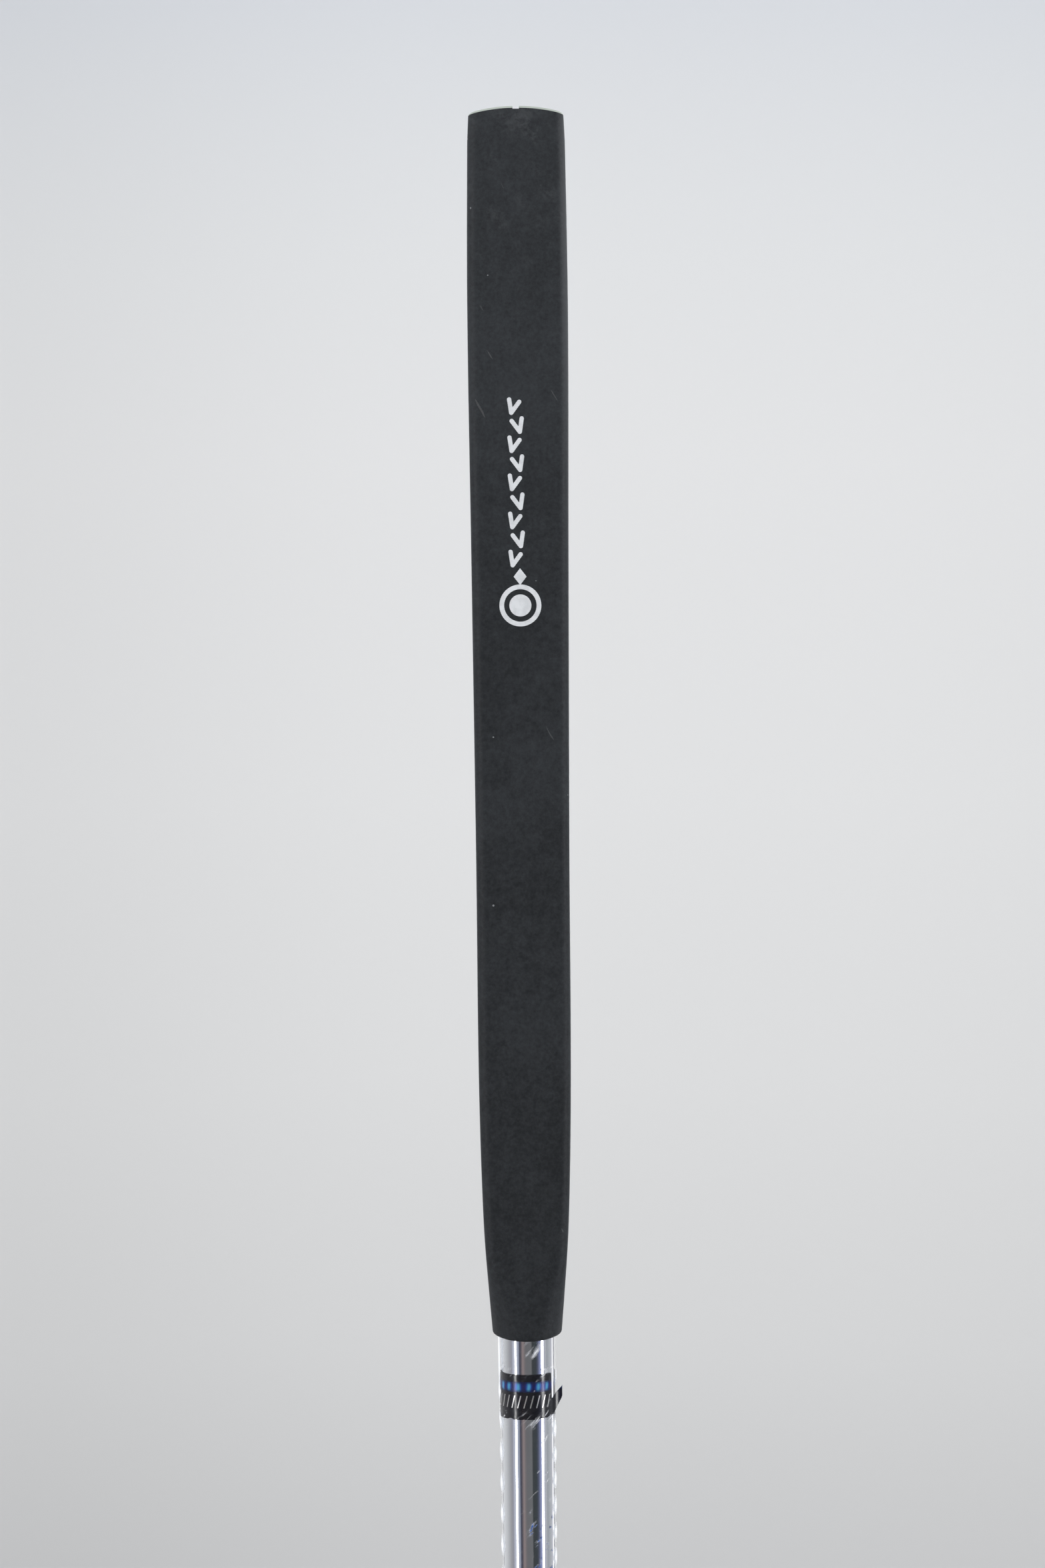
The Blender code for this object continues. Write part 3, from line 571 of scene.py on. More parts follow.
@dataclass(frozen=True)
class Machined(Finish):
    """Metal with fine cutter marks along one direction and small dings."""

    grain: tuple[float, float, float] = (900.0, 60.0, 900.0)
    depth: float = 0.012

    def dress(self, tree: Tree, coords: Wire) -> dict[str, Any]:
        """Brushes the metal."""
        lines = tree.noise(tree.stretch(coords, self.grain), 1.0, 4.0, 0.7)
        cloud = tree.noise(coords, 110.0, 4.0)
        return {
            "Base Color": tree.blend(cloud.rise(0.3, 0.7), self.shade(0.86), self.colour),
            "Roughness": lines * 0.12 + cloud * 0.08 + (self.roughness - 0.1),
            "Normal": tree.bump(lines, self.depth * MM),
        }


@dataclass(frozen=True)
class Woven(Finish):
    """Paper-backed cloth tape with a plain weave."""

    def dress(self, tree: Tree, coords: Wire) -> dict[str, Any]:
        """Weaves two sets of threads."""
        x, y, z = tree.parts(coords)
        around = x.maths("ARCTAN2", y) * 46.0
        along = z * (2 * math.pi / (0.9 * MM))
        weave = around.maths("SINE") * along.maths("SINE") * 0.5 + 0.5
        dirt = tree.noise(coords, 240.0, 4.0)
        shade = tree.blend(dirt, self.shade(0.75), self.colour)
        return {"Base Color": shade, "Roughness": self.roughness, "Normal": tree.bump(weave, 0.06 * MM)}


# ------------------------------------------------------------------ making meshes


class Ends(Enum):
    """What happens at the first and last ring of a skin."""

    CAPPED = "capped"
    JOINED = "joined"


def skin(
    name: str,
    rings: Sequence[Ring],
    ends: Ends,
    finish: Finish | None = None,
    axes: Axes | None = None,
    crease: Callable[[Vector], float] | None = None,
) -> bpy.types.Object:
    """Joins rings of points into one closed, smooth-shaded skin.

    Args:
        name: The piece's name.
        rings: Rings with the same number of points.
        ends: Whether the end rings are capped, or the last runs back to the first.
        finish: The finish, or None for a cutter.
        axes: The axes that the rings are drawn in, or None for the frame's own.
        crease: Gives each point's value for the crease attribute.

    Returns:
        The new object.
    """
    shape = bmesh.new()
    rows = [[shape.verts.new(p) for p in ring] for ring in rings]
    pairs = list(zip(rows, rows[1:]))
    if ends is Ends.JOINED:
        pairs.append((rows[-1], rows[0]))
    count = len(rows[0])
    for low, high in pairs:
        for i in range(count):
            j = (i + 1) % count
            shape.faces.new((low[i], low[j], high[j], high[i]))
    if ends is Ends.CAPPED:
        shape.faces.new(rows[0])
        shape.faces.new(rows[-1])
    bmesh.ops.recalc_face_normals(shape, faces=shape.faces[:])
    mesh = bpy.data.meshes.new(name)
    shape.to_mesh(mesh)
    shape.free()
    if crease:
        values = mesh.attributes.new("crease", "FLOAT", "POINT")
        values.data.foreach_set("value", [crease(v.co) for v in mesh.vertices])
    return show(name, mesh, finish, axes)


def show(
    name: str, mesh: bpy.types.Mesh, finish: Finish | None, axes: Axes | None, sharp: float = 35
) -> bpy.types.Object:
    """Makes an object of a mesh, shades it, gives it its finish and puts it in place."""
    mesh.shade_smooth()
    mesh.set_sharp_from_angle(angle=math.radians(sharp))
    obj = bpy.data.objects.new(name, mesh)
    bpy.context.scene.collection.objects.link(obj)
    if finish:
        mesh.materials.append(finish.material())
    if axes:
        axes.place(obj)
    return obj


def circle(radius: float, height: float, sides: int, centre: tuple[float, float] = (0, 0)) -> Ring:
    """A ring of points round a line parallel to Z."""
    turns = [2 * math.pi * i / sides for i in range(sides)]
    return [
        Vector((centre[0] + radius * math.cos(a), centre[1] + radius * math.sin(a), height)) for a in turns
    ]


def turned(
    name: str,
    profile: Sequence[tuple[float, float]],
    ends: Ends,
    finish: Finish | None = None,
    axes: Axes | None = None,
    centre: tuple[float, float] = (0, 0),
    sides: int = 96,
) -> bpy.types.Object:
    """Makes a turned piece from (radius, height) pairs."""
    return skin(name, [circle(r, z, sides, centre) for r, z in profile], ends, finish, axes)


def slab(
    name: str,
    low: Sequence[float],
    high: Sequence[float],
    corner: float,
    finish: Finish | None = None,
    axes: Axes | None = None,
    across: str = "Z",
    ease: float = 0.0,
) -> bpy.types.Object:
    """Makes a plate whose edges along one axis are round and whose rims are eased.

    Args:
        name: The piece's name.
        low: The lowest corner.
        high: The highest corner.
        corner: The corner radius.
        finish: The finish, or None for a cutter.
        axes: The axes that it is drawn in.
        across: The axis through the plate's thickness, "X" or "Z".
        ease: The radius of the rims.

    Returns:
        The new object.
    """
    order = {"Z": (0, 1, 2), "X": (1, 2, 0)}[across]
    (a0, b0, c0), (a1, b1, c1) = ([end[k] for k in order] for end in (low, high))
    rings = []
    turns = range(0, 91, 30) if ease else (90,)
    rims = [(c0 + ease * (1 - math.sin(math.radians(t))), t) for t in turns]
    rims += [(c1 - ease * (1 - math.sin(math.radians(t))), t) for t in reversed(turns)]
    for c, t in sorted(rims, key=lambda rim: rim[0]):
        inset = ease * (1 - math.cos(math.radians(t)))
        r = max(corner - inset, 0.02 * MM)
        points = []
        for a, b, start in (
            (a1 - inset - r, b0 + inset + r, -90),
            (a1 - inset - r, b1 - inset - r, 0),
            (a0 + inset + r, b1 - inset - r, 90),
            (a0 + inset + r, b0 + inset + r, 180),
        ):
            for u, v in arc((a, b), r, start, start + 90, 10):
                point = Vector()
                point[order[0]], point[order[1]], point[order[2]] = u, v, c
                points.append(point)
        rings.append(points)
    return skin(name, rings, Ends.CAPPED, finish, axes)


def carve(target: bpy.types.Object, tool: bpy.types.Object, operation: str = "DIFFERENCE") -> None:
    """Cuts a tool out of a target, or welds it on, and removes the tool."""
    step = target.modifiers.new(tool.name, "BOOLEAN")
    step.operation = operation
    step.solver = "EXACT"
    step.object = tool
    settle(target)
    bpy.data.objects.remove(tool)


def settle(obj: bpy.types.Object) -> bpy.types.Object:
    """Turns an object's modifiers into plain mesh."""
    graph = bpy.context.evaluated_depsgraph_get()
    made = bpy.data.meshes.new_from_object(obj.evaluated_get(graph))
    obj.modifiers.clear()
    obj.data = made
    return obj


def even(obj: bpy.types.Object, sharp: float = 35) -> bpy.types.Object:
    """Shades a carved piece so that its flat faces look flat."""
    obj.data.shade_smooth()
    obj.data.set_sharp_from_angle(angle=math.radians(sharp))
    step = obj.modifiers.new("even", "WEIGHTED_NORMAL")
    step.keep_sharp = True
    return settle(obj)


def ease_edges(
    obj: bpy.types.Object, width: float, segments: int = 2, sharper: float = 40
) -> bpy.types.Object:
    """Rounds the edges that are sharper than an angle."""
    shape = bmesh.new()
    shape.from_mesh(obj.data)
    bmesh.ops.remove_doubles(shape, verts=shape.verts[:], dist=0.003 * MM)
    bmesh.ops.dissolve_limit(shape, angle_limit=math.radians(0.5), verts=shape.verts[:], edges=shape.edges[:])
    shape.to_mesh(obj.data)
    shape.free()
    step = obj.modifiers.new("ease", "BEVEL")
    step.width = width
    step.segments = segments
    step.limit_method = "ANGLE"
    step.angle_limit = math.radians(sharper)
    step.harden_normals = False
    settle(obj)
    obj.data.shade_smooth()
    obj.data.set_sharp_from_angle(angle=math.radians(35))
    return obj


@dataclass(frozen=True)
class Row:
    """Copies one small solid along a line or round an axis with a geometry node tree."""

    name: str
    count: int
    step: Vector = field(default_factory=Vector)
    sway: Vector = field(default_factory=Vector)
    tilt: float = 0.0
    turn: float = 0.0

    def repeat(self, seed: bpy.types.Object, finish: Finish) -> bpy.types.Object:
        """Replaces a seed solid by its copies.

        Args:
            seed: The solid to copy, drawn where its first copy goes.
            finish: The finish of every copy.

        Returns:
            The same object, now with a plain mesh of all the copies.
        """
        group = self.tree()
        modifier = seed.modifiers.new(self.name, "NODES")
        modifier.node_group = group
        given = {
            "Count": self.count,
            "Step": self.step,
            "Sway": self.sway,
            "Tilt": self.tilt,
            "Turn": self.turn,
            "Finish": finish.material(),
        }
        for item in group.interface.items_tree:
            if item.in_out == "INPUT" and item.name in given:
                modifier[item.identifier] = given[item.name]
        return settle(seed)

    def tree(self) -> bpy.types.NodeTree:
        """Builds the tree: points on a line, a copy on each, swayed, tilted and turned."""
        group = bpy.data.node_groups.new(self.name, "GeometryNodeTree")
        for label, kind in (
            ("Geometry", "NodeSocketGeometry"),
            ("Count", "NodeSocketInt"),
            ("Step", "NodeSocketVector"),
            ("Sway", "NodeSocketVector"),
            ("Tilt", "NodeSocketFloat"),
            ("Turn", "NodeSocketFloat"),
            ("Finish", "NodeSocketMaterial"),
        ):
            group.interface.new_socket(label, in_out="INPUT", socket_type=kind)
        group.interface.new_socket("Geometry", in_out="OUTPUT", socket_type="NodeSocketGeometry")
        tree = Tree(group)
        source = tree.node("NodeGroupInput", output="Geometry").socket.node
        given = {socket.name: Wire(tree, socket) for socket in source.outputs if socket.name}
        line = tree.node(
            "GeometryNodeMeshLine", {"mode": "OFFSET"}, {"Count": given["Count"], "Offset": given["Step"]}
        )
        index = tree.node("GeometryNodeInputIndex")
        side = 1 - index.maths("MODULO", 2.0) * 2
        swayed = tree.node("ShaderNodeVectorMath", {"operation": "SCALE"}, {0: given["Sway"], "Scale": side})
        points = tree.node("GeometryNodeSetPosition", {}, {"Geometry": line, "Offset": swayed})
        tilt = tree.node("ShaderNodeCombineXYZ", {}, {"Y": given["Tilt"] * side})
        copies = tree.node(
            "GeometryNodeInstanceOnPoints", {}, {
                "Points": points, "Instance": given["Geometry"], "Rotation": tilt
            }
        )
        turn = tree.node("ShaderNodeCombineXYZ", {}, {"Z": given["Turn"] * index})
        around = tree.node(
            "GeometryNodeRotateInstances", {}, {"Instances": copies, "Rotation": turn, "Local Space": False}
        )
        real = tree.node("GeometryNodeRealizeInstances", {}, {0: around})
        dressed = tree.node("GeometryNodeSetMaterial", {}, {"Geometry": real, "Material": given["Finish"]})
        tree.end(dressed)
        return group


# ------------------------------------------------------------------ the object


SATIN_STEEL = Machined("satin_steel", OWN, (0.44, 0.445, 0.455), 0.33, 1.0)
SCREW_BORE = 1.8 * MM
ACROSS_TO_X = Matrix.Rotation(math.pi / 2, 4, "Y")


@dataclass
class Assembly:
    """A part of the club that is built together."""

    frame: dict[str, Any]
    club: Axes
    face: Axes

    def fit(self, obj: bpy.types.Object, slot: str, body: str, *nodes: str) -> None:
        """Lets a piece ride on its body and stand for the nodes it replaces."""
        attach(obj, body)
        if nodes:
            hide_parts(*nodes)
        LOG.info("%s rides on %s", obj.name, body)

    def keep(self, node: str, finish: Finish) -> None:
        """Keeps a node's own shape and gives it a finish."""
        slots = self.frame["nodes"][node].data.materials
        slots.clear()
        slots.append(finish.material())
        LOG.info("%s keeps its shape", node)

    def copy(self, node: str, finish: Finish, ease: float) -> bpy.types.Object:
        """Copies a node's mesh, merges it and eases its edges."""
        mesh = self.frame["nodes"][node].data.copy()
        mesh.materials.clear()
        made = show(node + "_finished", mesh, finish, None)
        return ease_edges(made, ease)

    def heights(self, node: str) -> tuple[float, float]:
        """Gives a node's lowest and highest point along the shaft."""
        low, high = self.club.span(self.frame["nodes"][node])
        return low.z, high.z


@dataclass
class Shaft(Assembly):
    """The chrome tube, its printed band and its clear wrap."""

    gap: float = 0.12 * MM
    wall: float = 0.5 * MM
    tip_parallel: float = 45 * MM
    tip_radius: float = 4.7 * MM
    butt_radius: float = 7.1 * MM
    band_thick: float = 0.12 * MM
    root: float = -32.0
    wrap_thick: float = 0.06 * MM

    def __post_init__(self) -> None:
        """Reads the places of the tube, band and wrap."""
        self.tip, self.butt = self.heights("shaft")
        self.mouth = self.heights("grip_sleeve")[0]
        self.band_low, self.band_top = self.heights("shaft_band")
        self.wrap_low = self.heights("shaft_wrap")[0]

    def radius(self, z: float) -> float:
        """The tube's outer radius at a height."""
        low = self.tip + self.tip_parallel
        return mix(self.tip_radius, self.butt_radius, min(max((z - low) / (self.butt - low), 0.0), 1.0))

    def build(self) -> None:
        """Makes every piece on the shaft."""
        self.tube()
        self.band()
        self.dashes()
        self.wrap()

    def tube(self) -> None:
        """Draws the stepless tube with lightly broken end edges."""
        chrome = Chrome("bright_chrome", self.club, (0.86, 0.87, 0.885), 0.025, 1.0)
        ease = 0.12 * MM
        heights = [mix(self.tip, self.butt, i / 60) for i in range(61)]
        outer = [(self.tip_radius - ease, self.tip), (self.tip_radius, self.tip + ease)]
        outer += [(self.radius(z), z) for z in heights[1:-1]]
        outer += [(self.butt_radius, self.butt - ease), (self.butt_radius - ease, self.butt)]
        inner = [(self.radius(z) - self.wall, z) for z in reversed(heights)]
        obj = turned("shaft_tube", outer + inner, Ends.JOINED, chrome, self.club, sides=144)
        self.fit(obj, "shaft_chrome", "club", "shaft")

    def band_ring(self, place: Vector, outward: Vector, low: float, high: float) -> Ring:
        """One upright slice of the band, with many points up each face."""
        rows = [mix(low, high, i / 12) for i in range(13)]
        near = [Vector((place.x, place.y, z)) for z in rows]
        far = [p + outward * self.band_thick for p in reversed(near)]
        return near + far

    def band(self) -> None:
        """Wraps the printed band and curls its torn corner away from the shaft."""
        print_finish = BandPrint("band_print", self.club, (0.006, 0.006, 0.009), 0.14, top=self.band_top)
        radius = self.radius(self.band_top) + self.gap
        rings = []
        height = self.band_top - self.band_low
        root = math.radians(self.root)
        outward = Vector((math.cos(root), math.sin(root), 0))
        onward = Vector((-outward.y, outward.x, 0))
        for i in range(14, 0, -1):
            share = i / 14
            reach, curl = 3.1 * MM * share, 1.2 * MM * share**2
            place = outward * (radius + curl) + onward * reach
            facing = outward.lerp(-onward, 0.55 * share).normalized()
            fray = 0.3 * MM * noise.noise(Vector((i * 0.9, 2.0, 0.0)))
            low = self.band_low + height * mix(0.03, 0.44, share**1.6) + fray
            high = self.band_low + height * mix(0.40, 0.68, share**1.2) + fray
            rings.append(self.band_ring(place, facing, low, high))
        steps = 150
        for i in range(steps + 1):
            a = root - math.radians(318) * i / steps
            turn = Vector((math.cos(a), math.sin(a), 0))
            ragged = noise.noise(Vector((math.cos(a) * 3.2, math.sin(a) * 3.2, 0.0)))
            ragged += 0.5 * noise.noise(Vector((math.cos(a) * 11, math.sin(a) * 11, 4.0)))
            start = 0.06 * height * (1 - smoothstep(i / 10))
            low = self.band_low + start + 0.55 * MM * max(ragged, 0.0)
            rings.append(self.band_ring(turn * radius, turn, low, self.band_top))
        obj = skin("shaft_band_film", rings, Ends.CAPPED, print_finish, self.club)
        self.fit(obj, "band_vinyl", "club", "shaft_band")

    def dashes(self) -> None:
        """Prints a row of slanted silver dashes round the band's lower half."""
        silver = Machined("silver_ink", self.club, (0.72, 0.70, 0.68), 0.32, 0.8)
        radius = self.radius(self.band_top) + self.gap + self.band_thick
        top, tall, wide, slant = self.band_top - 4.8 * MM, 2.9 * MM, 0.26 * MM, 0.8 * MM
        rings = []
        for i in range(7):
            share = i / 6
            across = mix(0.0, slant, share)
            a = math.radians(self.root - 13) + across / radius
            turn = Vector((math.cos(a), math.sin(a), 0))
            along = Vector((-turn.y, turn.x, 0)) * (wide / 2)
            up = Vector((0, 0, top - tall + tall * share))
            low, high = turn * (radius + 0.01 * MM) + up, turn * (radius + 0.03 * MM) + up
            rings.append([low - along, low + along, high + along, high - along])
        seed = skin("band_dashes", rings, Ends.CAPPED, silver)
        obj = Row("dash_row", 22, turn=-math.radians(13.4)).repeat(seed, silver)
        self.fit(self.club.place(obj), "band_vinyl", "club")

    def crease(self, side: int, z: float) -> float:
        """How far a side fold of the wrap stands off, from 0 to 1, at a height."""
        if side > 0 and -0.8 * MM < z - self.band_low < 7.6 * MM:
            return 0.0
        pitch = (7.2 if side < 0 else 6.1) * MM
        drift = 0.9 * noise.noise(Vector((side * 5.0, 0.0, z / (14 * MM))))
        wave = 0.5 + 0.5 * math.sin(2 * math.pi * (z / pitch) + drift + side)
        below = self.mouth - z
        if side < 0:
            wave = mix(0.9, wave, smoothstep((below - 7 * MM) / (8 * MM)))
        else:
            wave *= smoothstep((below - 2 * MM) / (16 * MM))
        return mix(0.12, 1.0, wave**1.4)

    def wrap(self) -> None:
        """Draws the clear wrap as a flat sleeve with a fold down each side."""
        film = ClearFilm(
            "clear_wrap_film", self.club, (0.93, 0.94, 0.96), 0.16, mouth=self.mouth, band=self.band_top
        )
        fine_top, fine_low = self.mouth - 0.4 * MM, self.mouth - 80 * MM
        heights = [fine_top - 0.5 * MM * i for i in range(int((fine_top - fine_low) / (0.5 * MM)))]
        coarse = int((fine_low - self.wrap_low) / (1.5 * MM))
        heights += [mix(fine_low, self.wrap_low, i / coarse) for i in range(coarse + 1)]
        sides = 88
        outside, inside = [], []
        for z in heights:
            lift = smoothstep((z - self.band_low + 1.5 * MM) / (1.5 * MM))
            base = self.radius(z) + self.gap + 0.08 * MM + (self.band_thick + 0.05 * MM) * lift
            outer, inner = [], []
            for i in range(sides):
                a = 2 * math.pi * i / sides
                c, s = math.cos(a), math.sin(a)
                side = 1 if c > 0 else -1
                fold = max(abs(c) - 0.86, 0.0) / 0.14
                loose = 0.04 * MM * noise.noise(Vector((c * 2, s * 2, z / (6 * MM))))
                r = base + loose + 0.55 * MM * self.crease(side, z) * fold**1.5 * (0.52 if side < 0 else 0.42)
                outer.append(Vector((r * c, r * s, z)))
                inner.append(Vector(((r - self.wrap_thick) * c, (r - self.wrap_thick) * s, z)))
            outside.append(outer)
            inside.append(inner)

        def painted_fold_reflection(point: Vector) -> float:
            """How strongly the painted reflection whitens the film at a point: along the folds, more where
            they stand off.
            """
            across = abs(point.x) / math.hypot(point.x, point.y)
            side = 1 if point.x > 0 else -1
            start = mix(0.998, 0.945, self.crease(side, point.z) ** 1.3)
            return smoothstep((across - start) / 0.016)

        obj = skin("shaft_wrap_film", outside + inside[::-1], Ends.JOINED, film, self.club, painted_fold_reflection)
        self.fit(obj, "clear_wrap", "club", "shaft_wrap")


@dataclass
class Grip(Assembly):
    """The rubber sleeve with its marks, the cap in its butt and the tape under it."""

    gap: float = 0.3 * MM
    front_wall: float = 1.6 * MM
    mouth_wall: float = 1.5 * MM
    tape_room: float = 0.85 * MM
    cap_ledge: float = 0.3 * MM
    cap_depth: float = 7 * MM
    cap_proud: float = 0.3 * MM
    cap_tuck: float = 0.25 * MM
    corner: float = 2.4 * MM
    mouth_corner: float = 7.3 * MM
    rounding: float = 20 * MM
    lip: float = 6 * MM
    edge: float = 1.0 * MM
    crown_radius: float = 41 * MM
    depth_share: float = 0.2
    top_edge: float = 0.35 * MM
    side_edge: float = 0.7 * MM
    mouth_dip: float = 0.75 * MM
    draw_in: float = 0.17 * MM
    sink: float = 0.1 * MM
    fullness: float = 2.25
    vent: float = 1.1 * MM
    notch_half: float = 0.75 * MM
    notch_depth: float = 0.8 * MM
    notch_reach: float = 6.4 * MM
    charcoal: Colour = (0.0282, 0.0312, 0.0340)
    widens: Stations = (
        (0, 0), (10, 0.75), (28, 1.9), (60, 2.65), (110, 2.8), (180, 3.25), (240, 3.65), (286, 3.2)
    )
    deepens: Stations = ((0, 0), (28, 1.9), (80, 3.2), (150, 3.8), (215, 5.6), (262, 9), (286, 7.6))

    def __post_init__(self) -> None:
        """Reads where the mouth and the rim are, and how thick the shaft is there."""
        self.mouth = self.heights("grip_sleeve")[0]
        self.butt = self.heights("shaft")[1]
        self.rim = self.butt + self.cap_depth
        self.shaft = Shaft(self.frame, self.club, self.face)
        self.cap_rubber = GripRubber("cap_rubber", self.club, self.charcoal, 0.56)
        self.rubber = GripRubber("grip_rubber", self.club, self.charcoal, 0.56, rim=self.rim)

    def front(self, above: float) -> float:
        """How far the flat front is ahead of the axis at a height above the mouth."""
        return self.shaft.radius(self.mouth + above) + self.tape_room + self.front_wall

    def outline(self, above: float, inset: float = 0.0) -> list[tuple[float, float]]:
        """The grip's section: a flat front, small corners and a full round back.

        Args:
            above: The height above the mouth.
            inset: How far the section is drawn in.

        Returns:
            Points as (x, y), with the front at negative y.
        """
        mouth_radius = self.shaft.radius(self.mouth) + self.gap + self.mouth_wall
        squared = smoothstep(above / self.rounding)
        half = mouth_radius + smooth_curve(self.widens, above / MM) * MM - inset
        back = mouth_radius + smooth_curve(self.deepens, above / MM) * MM - inset
        front = mix(mouth_radius, self.front(above), squared) - inset
        corner = max(mix(self.mouth_corner, self.corner, squared) - inset, self.gap)
        flat, shoulder = half - corner, corner - front
        points = [(mix(-flat, flat, i / 16), -front) for i in range(1, 16)]
        points += arc((flat, shoulder), corner, -90, 0, 10)
        for i in range(1, 60):
            c, s = math.cos(math.pi * i / 60), math.sin(math.pi * i / 60)
            x = half * math.copysign(abs(c) ** (2 / self.fullness), c)
            points.append((x, shoulder + (back - shoulder) * s ** (2 / self.fullness)))
        points += arc((-flat, shoulder), corner, 180, 270, 10)
        return points

    def crown(self, x: float, y: float) -> float:
        """How far the domed butt has fallen at a distance from the axis."""
        return (x * x + y * y * (self.depth_share if y < 0 else 1.0)) / (2 * self.crown_radius)

    def build(self) -> None:
        """Makes every piece of the grip."""
        self.sleeve()
        self.cap()
        self.marks()
        self.keep("grip_tape", Woven("tape_cloth", self.club, (0.72, 0.65, 0.50), 0.9))

    def dip(self, x: float, y: float, above: float) -> float:
        """How far the mouth's front bows down at a place, fading out up the sleeve."""
        half = self.shaft.radius(self.mouth) + self.gap + self.mouth_wall
        bow = max(1 - (x / half) ** 2, 0.0) * smoothstep(-y / half)
        return self.mouth_dip * bow * (1 - smoothstep(above / (10 * MM)))

    def low_ring(self, above: float, inset: float = 0.0) -> Ring:
        """The sleeve's outside at a height above the mouth, bowed down at its front."""
        outline = self.outline(above, inset)
        return [Vector((x, y, self.mouth + above - self.dip(x, y, above))) for x, y in outline]

    def rim_point(self, top: float, angle: float, index: int) -> Vector:
        """A point on the rounded rim: tighter at the front, fuller at the sides.

        Args:
            top: The height of the rim above the mouth.
            angle: How far round the edge the point is, from 0 to 90 degrees.
            index: Which point of the outline it follows.

        Returns:
            The point.
        """
        x, y = self.outline(top)[index]
        radius = mix(self.top_edge, self.side_edge, smoothstep((abs(x) - 6 * MM) / (4 * MM)))
        drop = radius * (1 - math.sin(math.radians(angle)))
        inset = radius * (1 - math.cos(math.radians(angle))) + self.draw_in
        x, y = self.outline(top, inset)[index]
        return Vector((x, y, self.rim - self.sink - drop - self.crown(x, y)))

    def sleeve(self) -> None:
        """Lofts the sleeve from its mouth to its rim and down inside."""
        rings = []
        for a in range(90, -1, -15):
            rise = self.edge * (1 - math.sin(math.radians(a)))
            inset = self.edge * (1 - math.cos(math.radians(a)))
            rings.append(self.low_ring(rise, inset))
        top = self.rim - self.mouth
        slices = 130
        for i in range(1, slices):
            rings.append(self.low_ring(mix(self.edge, top - self.lip, i / slices)))
        for a in range(0, 91, 15):
            rings.append([self.rim_point(top, a, i) for i in range(len(rings[0]))])
        outline = self.outline(top, self.front_wall - self.cap_ledge)
        rings.append([Vector((x, y, self.rim - self.sink - self.crown(x, y))) for x, y in outline])
        rings.append([Vector((x, y, self.butt)) for x, y in outline])
        ways = [Vector((x, y, 0)).normalized() for x, y in self.outline(top / 2)]
        lip_top = self.mouth + self.lip
        for z, room in (
            (self.butt, self.tape_room),
            (lip_top, self.tape_room),
            (lip_top, self.gap),
            (self.mouth, self.gap),
        ):
            inside = [way * (self.shaft.radius(z) + room) for way in ways]
            rings.append([Vector((p.x, p.y, z - self.dip(p.x, p.y, z - self.mouth))) for p in inside])
        obj = skin("grip_sleeve_rubber", rings, Ends.JOINED, self.rubber)
        carve(obj, self.notch())
        even(obj, 40)
        self.fit(self.club.place(obj), "grip_rubber", "club", "grip_sleeve")

    def notch(self) -> bpy.types.Object:
        """The tool for the short groove across the front of the butt."""
        front = self.front(self.rim - self.mouth)
        floor = self.rim - self.crown(0, -front) - self.notch_depth
        low = (-self.notch_half, -front - MM, floor)
        high = (self.notch_half, self.notch_reach - front, self.rim + 2 * MM)
        return slab("notch_tool", low, high, 0.3 * MM)

    def cap(self) -> None:
        """Domes the cap from its rim to the vent hole and takes the hole through."""
        top = self.rim - self.mouth
        inset = self.front_wall - self.cap_ledge + self.gap
        outline = self.outline(top, inset)
        lowest = max(self.crown(x, y) for x, y in outline)
        rings = [[Vector((x * 0.93, y * 0.93, self.butt + self.gap)) for x, y in outline]]
        rings.append([Vector((x, y, self.rim - lowest - 0.6 * MM)) for x, y in outline])
        for share in (1.0, 0.985, 0.95, 0.85, 0.7, 0.55, 0.4, 0.25, 0.12, 0.04, 0.0):
            lift = self.rim - self.sink + self.cap_proud * (1 - share**4)
            lift -= self.cap_tuck if share == 1.0 else 0.0
            ring = []
            for x, y in outline:
                way = Vector((x, y)).normalized() * self.vent
                px, py = mix(way.x, x, share), mix(way.y, y, share)
                dip = 0.3 * MM * (1 - smoothstep(share / 0.1))
                ring.append(Vector((px, py, lift - self.crown(px, py) - dip)))
            rings.append(ring)
        hole = [Vector((x, y)).normalized() * self.vent for x, y in outline]
        rings.append([Vector((p.x, p.y, self.butt + self.gap)) for p in hole])
        obj = skin("grip_cap_rubber", rings, Ends.JOINED, self.cap_rubber)
        carve(obj, self.notch())
        even(obj, 40)
        self.fit(self.club.place(obj), "grip_rubber", "club", "grip_cap")

    def on_front(self, along: float, inset: float) -> Vector:
        """A point on the middle of the flat front, a little below its surface."""
        return Vector((0, -self.front(along) + inset, self.mouth + along))

